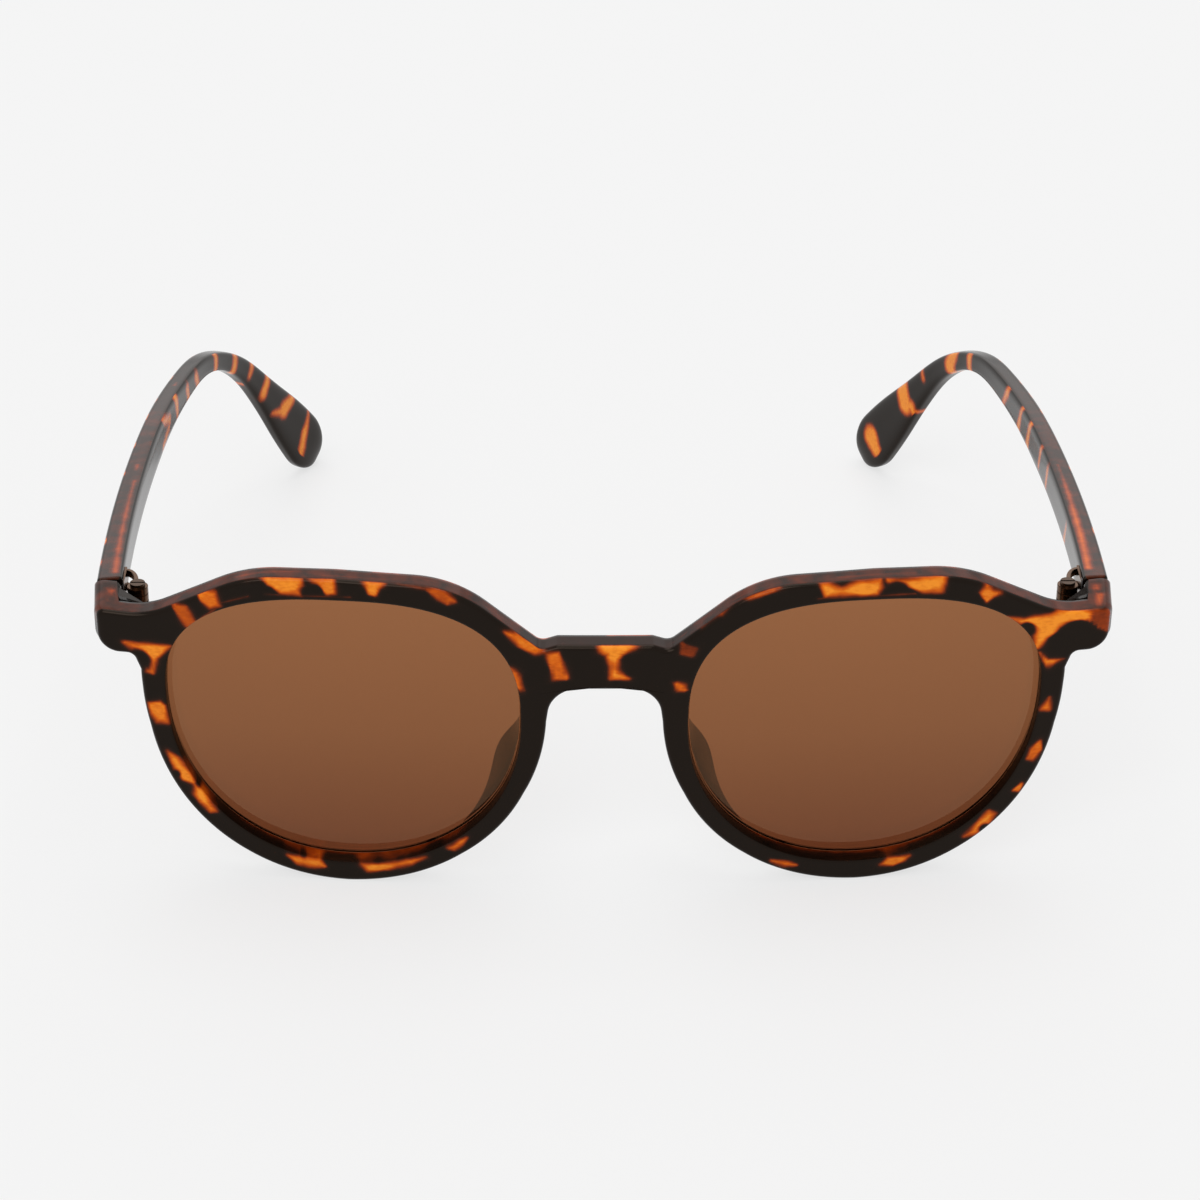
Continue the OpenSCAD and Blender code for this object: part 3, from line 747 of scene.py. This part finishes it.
def makeLensTint():
    # brown tinted polycarbonate, moulded and polished: a clear brown filter, its colour darker towards its
    # lower edge
    material, tree = newMaterial("tintedPolycarbonateLens")
    place = addNode(tree, "ShaderNodeTexCoord").outputs["Object"]
    height = addNode(tree, "ShaderNodeSeparateXYZ", links={0: place}).outputs["Z"]
    part = addNode(tree, "ShaderNodeMapRange", {"From Min": lensLook["from"], "From Max": lensLook["to"]},
                   {"Value": height})
    ramp = addNode(tree, "ShaderNodeValToRGB", links={"Fac": part})
    setStops(ramp, lensLook["stops"])
    glass = addNode(tree, "ShaderNodeBsdfPrincipled",
                    {"Roughness": 0.0, "IOR": lensLook["ior"], "Transmission Weight": 1.0,
                     "Specular IOR Level": lensLook["specular"], "Specular Tint": hexColor(lensLook["tint"])},
                    {"Base Color": ramp})
    # light passes straight through to what lies behind
    clear = addNode(tree, "ShaderNodeBsdfTransparent", links={"Color": ramp})
    path = addNode(tree, "ShaderNodeLightPath")
    both = addNode(tree, "ShaderNodeMixShader", links={0: path.outputs["Is Shadow Ray"], 1: glass, 2: clear})
    addNode(tree, "ShaderNodeOutputMaterial", links={"Surface": both})
    return material


def makeHingeMetal(look):
    # gunmetal plated metal, stamped or turned, then tumbled: dark and warm, with slightly uneven highlights
    material, tree = newMaterial(look["name"])
    place = addNode(tree, "ShaderNodeTexCoord").outputs["Object"]
    stretched = addNode(tree, "ShaderNodeMapping", {"Scale": metalLooks["stretch"]}, {"Vector": place})
    noise = addNode(tree, "ShaderNodeTexNoise", {"Scale": 1 / (metalLooks["tumbleSize"] * mm), "Detail": 3.0},
                    {"Vector": stretched})
    ends = {"To Min": look["roughness"] - metalLooks["less"],
            "To Max": look["roughness"] + metalLooks["more"]}
    rough = addNode(tree, "ShaderNodeMapRange", ends, {"Value": noise})
    shader = addNode(tree, "ShaderNodeBsdfPrincipled",
                     {"Base Color": hexColor(look["color"]), "Metallic": 1.0}, {"Roughness": rough})
    addNode(tree, "ShaderNodeOutputMaterial", links={"Surface": shader})
    return material


tortoise = makeTortoise()
lensTint = makeLensTint()
metals = {kind: makeHingeMetal(metalLooks[kind]) for kind in ("leaf", "screw")}
print("materials made")

section = sectionLoop()
templeRight = makeTemple("templeBarRight", 1, tortoise, section)
templeLeft = makeTemple("templeBarLeft", -1, tortoise, section)
bpy.data.objects.remove(section)
print("temples made")

# amber patches of the front: each is an outline of x and z in mm, and how bright it gets
frontPatches = [
    ([(-69, 40.3), (-65, 40.2), (-62.3, 40.2), (-64.3, 37.9), (-65, 35.3), (-66, 35.7), (-66.7, 38.3),
      (-67.7, 39.3)], 0.95),
    ([(-66, 30), (-64.3, 30.3), (-63.7, 29.7), (-63.3, 26.8), (-65, 26.7), (-65.7, 28.2)], 0.9),
    ([(-63.7, 21.7), (-62.3, 20.7), (-61.2, 19.2), (-60.2, 16.8), (-59.8, 16), (-61.7, 16.8), (-62.7, 18.3),
      (-63.3, 20)], 0.95),
    ([(-60, 16.2), (-59, 15.2), (-58, 13.3), (-57.1, 11.5), (-58, 11.3), (-59.3, 12.7), (-60.2, 14.2)], 1.0),
    ([(-46.8, 4.2), (-44.6, 4), (-42.1, 3.8), (-41.3, 2.5), (-42.9, 2.2), (-45.4, 2.7)], 0.9),
    ([(-35.8, 3.2), (-33.3, 3.2), (-30, 4), (-26.3, 5), (-28.3, 3.7), (-32.1, 2.5), (-35, 2)], 0.95),
    ([(-22.8, 6.8), (-21.3, 8.2), (-20.2, 8.7), (-20.8, 7.5), (-22, 6.5)], 0.9),
    ([(-61.3, 47.1), (-59.6, 47.1), (-58.5, 44.8), (-59.6, 43.8), (-60.7, 45.7)], 0.66),
    ([(-57.8, 49.5), (-56.3, 49.8), (-55.2, 50), (-54.7, 47.7), (-56.2, 47.2), (-57.2, 48.3)], 0.85),
    ([(-50.8, 52.8), (-47.5, 53.1), (-42.9, 52.8), (-42.7, 50.3), (-45.8, 50.5), (-47.1, 51.7),
      (-48.5, 52.2)], 0.95),
    ([(-41.8, 53), (-38.3, 53.2), (-38.2, 50.8), (-39.3, 50.7), (-40.2, 52)], 0.85),
    ([(-34.3, 53), (-31, 52.8), (-32, 52), (-32.5, 50.8), (-33.3, 51), (-33.7, 52.2)], 0.9),
    ([(-25, 52), (-22.9, 51.8), (-21.3, 50.2), (-22.3, 49.7), (-24, 50.8)], 0.68),
    ([(-14.3, 45.2), (-12.3, 44.7), (-8.7, 41.8), (-10, 41.5), (-12.3, 42.9)], 0.8),
    ([(-8.3, 41.5), (-6.7, 41.7), (-5.2, 37.3), (-7.3, 37.2)], 0.78),
    ([(-13.5, 39), (-12.3, 37.8), (-11.8, 35.2), (-12.7, 35.7)], 0.75),
    ([(-1.2, 43.2), (5, 43.1), (3.2, 42), (1.9, 41.2), (1.7, 39.2), (2.2, 38.2), (3.4, 37.3), (0.8, 37.3),
      (0.7, 39.5), (0.2, 41.3), (-0.7, 41.9)], 1.0),
    ([(10, 36.5), (11.3, 36), (11.7, 35), (10.4, 35.3)], 0.75),
    ([(11, 43), (12.8, 42.2), (12.4, 41.2), (10.9, 41.6)], 0.56),
    ([(14.3, 48.2), (16.3, 50), (17.8, 49.8), (16.3, 48)], 0.62),
    ([(18.5, 51), (20.8, 51.8), (24.7, 52.2), (22.3, 51.2), (19.8, 50.5)], 0.66),
    ([(30.2, 52.7), (31.5, 52.5), (33.3, 51.8), (35.8, 52.7), (38.8, 52.8), (39, 51.5), (38.5, 50.5),
      (33.3, 50.7), (31, 50.5)], 1.0),
    ([(39.8, 52.7), (41.7, 52.5), (45, 52.8), (48.2, 52.8), (47.9, 50.3), (45, 50.5), (43.3, 51.5),
      (41.5, 52.2)], 1.0),
    ([(54.2, 51.3), (55, 50), (56.3, 49.5), (55.2, 49), (54.3, 48.2), (53.3, 49.8)], 0.9),
    ([(57.5, 45.2), (60, 44.7), (61.7, 45), (67.7, 45.7), (70, 45), (69.7, 43.3), (67.7, 42.8), (65.2, 42.5),
      (63.5, 41.3), (62.7, 39.8), (62, 39.2), (61.7, 41.7), (60.7, 43.3), (59.3, 44.2)], 1.0),
    ([(70.2, 45), (72.5, 44.8), (72.5, 41.6), (70.4, 42.6)], 0.56),
    ([(62.7, 38.7), (64, 37.3), (66.3, 37), (64.2, 36.2), (63.5, 37.2)], 0.85),
    ([(64.8, 30.7), (65, 28.5), (63.7, 28.7)], 0.8),
    ([(64, 23), (64.2, 21.5), (63.2, 19.7), (62.3, 20), (62.8, 21.8)], 0.75),
    ([(61.8, 15.5), (61.5, 14.3), (60.7, 14.5)], 0.8),
    ([(57.2, 11), (58.2, 10.5), (57.5, 9), (55.7, 7), (53.8, 6.7), (54.7, 7.8), (56, 9.5)], 1.0),
    ([(41.5, 2.5), (42.5, 3.5), (45.7, 3.8), (45, 3), (43.3, 2.3)], 0.9),
    ([(25, 4.2), (27.5, 3.8), (28.8, 3.2), (27.1, 3.2)], 0.75),
]
# dark rounded lobes that bite into the patches: x, z and radius
frontLobes = [
    (-67.2, 37.2, 2.0), (-62.9, 24.7, 1.3), (-62.9, 17.6, 0.8), (-59.1, 16.4, 0.8),
    (-49.4, 50.7, 1.9), (-41.4, 50.7, 1.6), (-36.3, 52.3, 1.5), (-30.4, 50.7, 1.6),
    (-10.6, 45.6, 1.0), (-9.7, 39.2, 1.3), (-2.0, 39.5, 2.1), (4.7, 39.5, 2.3),
    (34.6, 54.1, 1.0), (41.0, 50.5, 2.0), (49.4, 50.0, 1.2), (56.4, 51.3, 1.0), (52.4, 49.0, 1.0),
    (60.4, 42.7, 1.4), (67.9, 40.4, 3.4), (65.3, 38.9, 1.0), (56.9, 7.8, 0.9), (-33.9, 4.7, 0.7),
    (-44.4, 4.8, 0.8),
]
# painted highlights: thin bright lines along the edges of the opening and the brow, beside the patches: x, z
# and half width at both ends
frontEdgeHighlights = [
    (-59.2, 43.8, 0.2, -55.4, 47.1, 0.2), (-54.5, 48.2, 0.1, -50.5, 49.6, 0.1),
    (-30.8, 52.9, 0.15, -25, 52.0, 0.2), (-48, 50.1, 0.05, -36, 50.3, 0.05),
    (30, 50.2, 0.1, 44, 50.3, 0.1), (13.5, 45.6, 0.1, 17, 48.6, 0.15),
]
# amber streaks on the brow's and the end pieces' top faces, brightened to stand in for painted highlights: x
# and depth at both ends, half width, strength
browStreaksAndHighlights = [
    (-52, 1.6, -43, 2.2, 0.5, 0.62), (-46, 3.0, -30, 3.0, 0.35, 0.5), (-40, 1.3, -27, 1.5, 0.4, 0.6),
    (-26, 2.0, -18, 2.6, 0.6, 0.52), (-34, 2.3, -22, 2.2, 0.25, 0.58), (-17, 1.4, -12, 2.0, 0.5, 0.56),
    (18, 1.6, 27, 1.7, 0.5, 0.56), (24, 2.7, 36, 2.6, 0.4, 0.5), (33, 1.4, 44, 1.5, 0.45, 0.62),
    (40, 2.6, 50, 2.4, 0.4, 0.54), (9, 1.6, 16, 2.2, 0.4, 0.5), (52, 1.7, 57, 2.2, 0.4, 0.52),
    (-71, 5.6, -71, 5.0, 1.1, 0.6), (-71.2, 3.2, -70.6, 2.2, 0.7, 0.54),
    (71.4, 6.0, 71, 5.2, 1.1, 0.64), (71.6, 3.8, 71, 1.2, 1.0, 0.64), (66, 2, 68, 3, 0.5, 0.5),
]
# how the front is painted: soft is the width in mm over which an edge fades, and grow widens a shape
frontPainting = {
    "soft": 1.0, "grow": 0.28, "crisp": 0.85, "fade": 0.45, "fadeX": 0.9, "fadeZ": 1.3, "reach": 2.0,
    # line is how bright the painted highlight lines get
    "lobeSoft": 1.4, "line": 0.7, "highlightSoft": 0.5, "highlightGrow": 0.1,
    "groove": 0.12, "lip": 0.56, "lipTop": 18, "lipOver": 10, "lipPatch": 0.8, "lipSoft": 1.2,
    "backShift": (-1.5, 0.4), "backSoft": 1.1, "armGap": 7, "armOver": 3, "armLeast": 0.25,
    "bridgeX": 12, "bridgeDrop": 1.6, "sideTop": 43, "sideFront": 1.25, "sideFall": 0.12,
    # the top faces of the bridge and the brow get a lighter reddish base, partly the plastic's own tone and
    # partly painted sheen
    "bridgeToneAndSheen": 0.34, "browToneAndSheen": 0.425, "browFront": 1.1, "streak": 1.06, "streakEnd": 0.6,
    "streakSoft": 1.2, "streakGrow": 0.3,
}


def edgeGap(x, z, line):
    # distance to a closed outline, positive inside it
    inside, gap = False, math.inf
    for (x0, z0), (x1, z1) in zip(line, line[1:] + line[:1]):
        dx, dz = x1 - x0, z1 - z0
        u = clamp(((x - x0) * dx + (z - z0) * dz) / (dx * dx + dz * dz))
        gap = min(gap, math.hypot(x - x0 - dx * u, z - z0 - dz * u))
        if (z0 > z) != (z1 > z) and x < x0 + (z - z0) * dx / dz:
            inside = not inside
    return gap if inside else -gap


def patchBox(line, most):
    # an outline with the box outside which it has no effect
    xs, zs, reach = [x for x, z in line], [z for x, z in line], frontPainting["reach"]
    return min(xs) - reach, max(xs) + reach, min(zs) - reach, max(zs) + reach, line, most


patchBoxes = [patchBox(line, most) for line, most in frontPatches]


def patchField(x, z, soft, grow):
    # 0.5 on the edge of a patch, more inside it, and 0 well outside
    best = 0.0
    for left, right, low, high, line, most in patchBoxes:
        if left < x < right and low < z < high:
            best = max(best, min(most, 0.5 + 0.5 * (edgeGap(x, z, line) + grow) / soft))
    return best


def strokeField(x, y, strokes, soft, grow):
    # the same for tapered strokes, each with x, y and half width at both ends
    best = -1.0
    for x0, y0, r0, x1, y1, r1 in strokes:
        dx, dy = x1 - x0, y1 - y0
        u = clamp(((x - x0) * dx + (y - y0) * dy) / max(1e-9, dx * dx + dy * dy))
        gap = math.hypot(x - x0 - dx * u, y - y0 - dy * u)
        best = max(best, (mix(r0, r1, u) + grow - gap) / soft)
    return clamp(0.5 + 0.5 * best)


def frontAmberAndHighlights(x, z, soft=frontPainting["soft"]):
    # the pattern as seen from the front, with the painted highlight lines laid over it; some of its edges are
    # crisp and some fade
    look = frontPainting
    soft *= look["crisp"] + look["fade"] * math.sin(look["fadeX"] * x) * math.sin(look["fadeZ"] * z + 1)
    value = patchField(x, z, soft, look["grow"])
    for lobeX, lobeZ, radius in frontLobes:
        outside = math.hypot(x - lobeX, z - lobeZ) - radius
        value = min(value, clamp(0.5 + outside / (look["lobeSoft"] * soft)))
    # the painted highlight lines along the edges
    return max(value, look["line"] * strokeField(x, z, frontEdgeHighlights, look["highlightSoft"], look["highlightGrow"]))


def frontPaint(x, z, d, zone):
    # how amber the front is at a point d behind its face, with painted highlight lines and a painted sheen on
    # the top faces, by its zone in the section
    look = frontPainting
    if zone == "face":
        return frontAmberAndHighlights(x, z)
    if zone == "groove":
        return look["groove"]
    if zone == "lip":
        # reddish along the bottom of the opening
        low = clamp((look["lipTop"] - z) / look["lipOver"]) * look["lip"]
        return max(low, look["lipPatch"] * frontAmberAndHighlights(x, z, look["lipSoft"]))
    if zone == "back":
        # the pattern shifted a little, and dark behind the end pieces
        shiftX, upZ = look["backShift"]
        fade = clamp((armIn - look["armGap"] - abs(x)) / look["armOver"], look["armLeast"])
        return frontAmberAndHighlights(x + shiftX, z + upZ, look["backSoft"]) * fade
    onBridge = abs(x) < look["bridgeX"] and z > bridgeTop - look["bridgeDrop"]
    if z < look["sideTop"] and not onBridge:
        return frontAmberAndHighlights(x, z) * clamp(look["sideFront"] - look["sideFall"] * d)
    # the top faces of the bridge and the brow: a lighter reddish base, partly the plastic's own tone and
    # partly painted sheen
    value = look["bridgeToneAndSheen"] if onBridge else look["browToneAndSheen"]
    # amber streaks on the top faces, brightened as painted highlights
    for x0, d0, x1, d1, radius, most in browStreaksAndHighlights:
        stroke = (x0, d0, radius, x1, d1, look["streakEnd"] * radius)
        field = strokeField(x, d, [stroke], look["streakSoft"], look["streakGrow"])
        value = max(value, look["streak"] * most * field)
    return max(value, frontAmberAndHighlights(x, z) * clamp(look["browFront"] - d))


# strokes on the temples, left (-1) and right (1): the distance from the root, the height on the inner face
# or the way outward on the top face, and the half width, at both ends; most is how bright the top gets
templeStrokes = {
    -1: {
        "inner": [(98, 1.8, 0.9, 98.6, -1.8, 0.8), (107, 2, 0.9, 107.6, -2, 1.1),
                  (114.4, 2.0, 0.8, 114.6, -0.5, 0.5), (121.2, 3.0, 0.9, 121.8, -0.8, 1.2),
                  (132.6, 4.2, 0.7, 130.8, 0.4, 1.7), (130.0, -0.6, 0.9, 127.6, -2.0, 0.3),
                  (139.2, 4.4, 0.2, 140.6, 0.6, 1.0), (140.6, 0.6, 1.0, 142.6, -3.0, 1.1),
                  (142.6, -3.0, 1.1, 144.6, -4.2, 0.1), (136.6, -4.8, 0.2, 139.6, -4.9, 0.2),
                  (73, 2, 1.2, 73.5, -1.2, 0.8), (62, 2.3, 0.6, 67, 0.6, 0.9), (60, -1.5, 0.7, 66, -0.4, 0.7),
                  (81, 0.5, 0.9, 82, -2, 0.7), (87, 0.5, 0.9, 88.6, -2, 0.7)],
        "top": [(2, -0.6, 0.7, 36, -0.5, 0.5), (40.5, -0.2, 0.4, 42.5, -0.2, 0.5),
                (78, -0.2, 0.4, 79.5, -0.2, 0.3)],
        "most": 0.62,
    },
    1: {
        "inner": [(22, 1, 0.6, 23.5, -2.5, 1.0), (43, 1.5, 0.8, 44, -1.5, 0.6), (50, 2, 0.7, 51, -1, 0.6),
                  (60, 2.5, 0.8, 61.5, -2, 1.2), (67, 2.5, 0.6, 69, -2.5, 1.2),
                  (77, 1.5, 0.9, 79.5, -1.5, 0.6),
                  (98.2, 1, 1.0, 98.6, -1.5, 1.0), (105, 1.5, 1.6, 107.4, -0.5, 1.8),
                  (118, 2.5, 0.3, 118.4, 0.5, 0.4), (126.5, 2.5, 2.0, 127.5, -0.3, 2.0),
                  (126, -1.5, 1.2, 126.5, -3.0, 0.7), (142.5, 0.5, 2.2, 143, -2, 1.6)],
        "top": [(3, -0.7, 0.7, 22, -0.5, 0.6), (22, -0.5, 0.6, 42, -0.3, 0.1), (5, 1.75, 0.1, 80, 1.75, 0.1)],
        "most": 0.74,
    },
}
# how the temples are painted: soft and grow as above, on the side faces and on the top
templePainting = {
    "soft": 1.2, "grow": 0.35, "topSoft": 0.9, "topGrow": 0.3, "topFrom": 0.9, "topHalf": 1.7,
    # the top faces get a lighter reddish base, partly the plastic's own tone and partly painted sheen, which
    # fades from fadeFrom over fadeOver mm towards the tip
    "topToneAndSheen": 0.4, "topToneAndSheenFade": 0.2, "fadeFrom": 60, "fadeOver": 40,
    # strokes on the outer faces: where they run, and the ranges of their random sizes in the order drawn
    "seed": 31, "outerFrom": 6.0, "outerTo": 146,
    "outer": {"lean": (-2.5, 2.5), "high": (0.5, 4.5), "low": (-4.5, 0.5),
              "highHalf": (0.5, 1.3), "lowHalf": (0.4, 1.3), "spacing": (6, 13)},
}


def outerStrokes(side):
    # the outer faces carry strokes of the same kind, spaced as on the inner ones
    look = templePainting
    draw = random.Random(look["seed"] + side)
    strokes, s = [], look["outerFrom"]
    while s < look["outerTo"]:
        lean, high, low, highHalf, lowHalf, spacing = [draw.uniform(*ends) for ends in look["outer"].values()]
        strokes.append((s, high, highHalf, s + lean, low, lowHalf))
        s += spacing
    return strokes


def paintTemple(piece, side):
    # paints by the numbers that the sweep left on the mesh, then takes them off
    look, mesh = templePainting, piece.data
    kept = {}
    for name in ("barAlong", "secX", "secY", "barTall", "barPower"):
        kept[name] = [0.0] * len(mesh.vertices)
        mesh.attributes[name].data.foreach_get("value", kept[name])
    middle = [0.0] * (3 * len(mesh.vertices))
    mesh.attributes["barPlace"].data.foreach_get("vector", middle)
    strokes, outer = templeStrokes[side], outerStrokes(side)
    values = []
    for vertex, x, s, u, v, half, power in zip(mesh.vertices, middle[::3], *kept.values()):
        across = (vertex.co.x - x) * side
        up = math.copysign(abs(v) ** power, v) * half / mm
        value = strokeField(s, up, strokes["inner"] if across < 0 else outer, look["soft"], look["grow"])
        if v > look["topFrom"]:
            sideways = abs(u) ** power * look["topHalf"] * math.copysign(1, across)
            # the top face: a lighter reddish base, partly the plastic's own tone and partly painted sheen,
            # fading towards the tip
            base = look["topToneAndSheen"] - look["topToneAndSheenFade"] * smooth((s - look["fadeFrom"]) / look["fadeOver"])
            streak = strokeField(s, sideways, strokes["top"], look["topSoft"], look["topGrow"])
            value = max(base, strokes["most"] * streak)
        values.append(value)
    storeFloat(mesh, "amberAndSheen", values)
    for name in [item.name for item in mesh.attributes if item.name.startswith(("bar", "sec"))]:
        mesh.attributes.remove(mesh.attributes[name])


frontMoulding = makeFront()
print("front made")
paintTemple(templeRight, 1)
paintTemple(templeLeft, -1)
frontMoulding.data.materials.append(tortoise)
for piece in (lensLeft, lensRight):
    piece.data.materials.append(lensTint)
print("patches painted")


def softCopy(node, name, kind):
    # a hinge leaf or screw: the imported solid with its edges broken
    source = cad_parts[node]
    piece = bpy.data.objects.new(name, source.data.copy())
    scene.collection.objects.link(piece)
    bm = bmesh.new()
    bm.from_mesh(piece.data)
    bmesh.ops.transform(bm, matrix=source.matrix_world, verts=bm.verts)
    bmesh.ops.remove_doubles(bm, verts=bm.verts, dist=0.003 * mm)
    bmesh.ops.dissolve_limit(bm, angle_limit=math.radians(1), verts=bm.verts, edges=bm.edges)
    sharp = [edge for edge in bm.edges
             if len(edge.link_faces) == 2 and edge.calc_face_angle(0) > math.radians(40)]
    bmesh.ops.bevel(bm, geom=sharp, offset=metalLooks[kind]["broken"] * mm, segments=2, affect="EDGES",
                    clamp_overlap=True)
    shadeSmooth(bm, 35)
    bm.to_mesh(piece.data)
    bm.free()
    piece.data.materials.clear()
    piece.data.materials.append(metals[kind])
    return piece


pieces = [(frontMoulding, "front", "tortoise", "front_frame"),
          (lensLeft, "front", "tinted_lens", "lens_left"), (lensRight, "front", "tinted_lens", "lens_right"),
          (templeLeft, "temple_left", "tortoise", "temple_left"),
          (templeRight, "temple_right", "tortoise", "temple_right")]
for side in ("left", "right"):
    # each node, the name of its piece, its kind of metal, the body that it rides on and its slot
    for node, name, kind, body, slot in (
            ("hinge_front_", "hingeFrontLeaf", "leaf", "front", "hinge_metal"),
            ("hinge_temple_", "hingeTempleLeaf", "leaf", "temple_" + side, "hinge_metal"),
            ("hinge_screw_", "hingeScrew", "screw", "temple_" + side, "screw_metal")):
        piece = softCopy(node + side, name + side.capitalize(), kind)
        pieces.append((piece, body, slot, node + side))
for piece, body, slot, node in pieces:
    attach(piece, body)
    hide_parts(node)
print("pieces placed:", len(pieces))

studio = {
    "paper": "#F5F5F5", "evenness": 0.75, "world": 0.4, "floor": 4.0,
    # each sun's direction, strength and spread in degrees
    "suns": {"backBank": ((0.0, -0.8, -0.6), 0.35, 52), "topBank": ((0.0, -0.15, -1.0), 1.0, 50),
             "frontFill": ((0.25, 0.7, -0.66), 1.0, 40)},
}
photoCamera = {"place": (-0.00937, -0.4940, 0.28085), "down": 28.734, "turn": -1.217, "roll": 0.48,
               "lens": 102.14, "sensor": 36, "shift": -0.0023, "near": 0.01}


def seenShare(tree):
    # 1 for what the eye, a reflection or a lens shows, and 0 for light that falls on the object
    path = addNode(tree, "ShaderNodeLightPath")
    seen = addNode(tree, "ShaderNodeMath", {"operation": "ADD"},
                   {0: path.outputs["Is Camera Ray"], 1: path.outputs["Is Glossy Ray"]})
    return addNode(tree, "ShaderNodeMath", {"operation": "ADD", "use_clamp": True},
                   {0: seen, 1: path.outputs["Is Transmission Ray"]})


def makeFloor():
    # matte paper: evenly pale to the eye, in reflections and through the lenses, with a share of its shadows
    material, tree = newMaterial("mattePaperSweep")
    paper = addNode(tree, "ShaderNodeBsdfDiffuse", {"Color": hexColor(studio["paper"])})
    even = addNode(tree, "ShaderNodeEmission", {"Color": hexColor(studio["paper"]), "Strength": 1.0})
    evenness = addNode(tree, "ShaderNodeMath", {"operation": "MULTIPLY", 1: studio["evenness"]},
                       {0: seenShare(tree)})
    both = addNode(tree, "ShaderNodeMixShader", links={0: evenness, 1: paper, 2: even})
    addNode(tree, "ShaderNodeOutputMaterial", links={"Surface": both})
    size = studio["floor"]
    floor = meshObject("floor", [(-size, -size, 0), (size, -size, 0), (size, size, 0), (-size, size, 0)],
                       [(0, 1, 2, 3)])
    floor.data.materials.append(material)


def makeSky():
    # lights at its own level, and shows as pale as the paper
    world = scene.world or bpy.data.worlds.new("studio")
    scene.world = world
    world.use_nodes = True
    tree = world.node_tree
    tree.nodes.clear()
    sky = addNode(tree, "ShaderNodeBackground", {"Color": (1, 1, 1, 1), "Strength": studio["world"]})
    pale = addNode(tree, "ShaderNodeBackground", {"Color": hexColor(studio["paper"]), "Strength": 1.0})
    both = addNode(tree, "ShaderNodeMixShader", links={0: seenShare(tree), 1: sky, 2: pale})
    addNode(tree, "ShaderNodeOutputWorld", links={"Surface": both})


def makeSuns():
    # large soft lights far away, so the floor is lit evenly
    for name, (towards, strength, spread) in studio["suns"].items():
        light = bpy.data.lights.new(name, "SUN")
        light.energy = strength
        light.angle = math.radians(spread)
        lamp = bpy.data.objects.new(name, light)
        scene.collection.objects.link(lamp)
        lamp.rotation_euler = Vector(towards).to_track_quat("-Z", "Y").to_euler()


def makeCamera():
    camera = bpy.data.objects.new("photoCamera", bpy.data.cameras.new("photoCamera"))
    scene.collection.objects.link(camera)
    camera.data.lens = photoCamera["lens"]
    camera.data.sensor_width = photoCamera["sensor"]
    camera.data.shift_x = photoCamera["shift"]
    camera.data.clip_start = photoCamera["near"]
    turn = Matrix.Rotation(math.radians(photoCamera["turn"]), 4, "Z")
    down = Matrix.Rotation(math.radians(90 - photoCamera["down"]), 4, "X")
    roll = Matrix.Rotation(math.radians(photoCamera["roll"]), 4, "Z")
    camera.matrix_world = Matrix.Translation(Vector(photoCamera["place"])) @ turn @ down @ roll
    scene.camera = camera


makeFloor()
makeSky()
makeSuns()
makeCamera()
print("stage set")
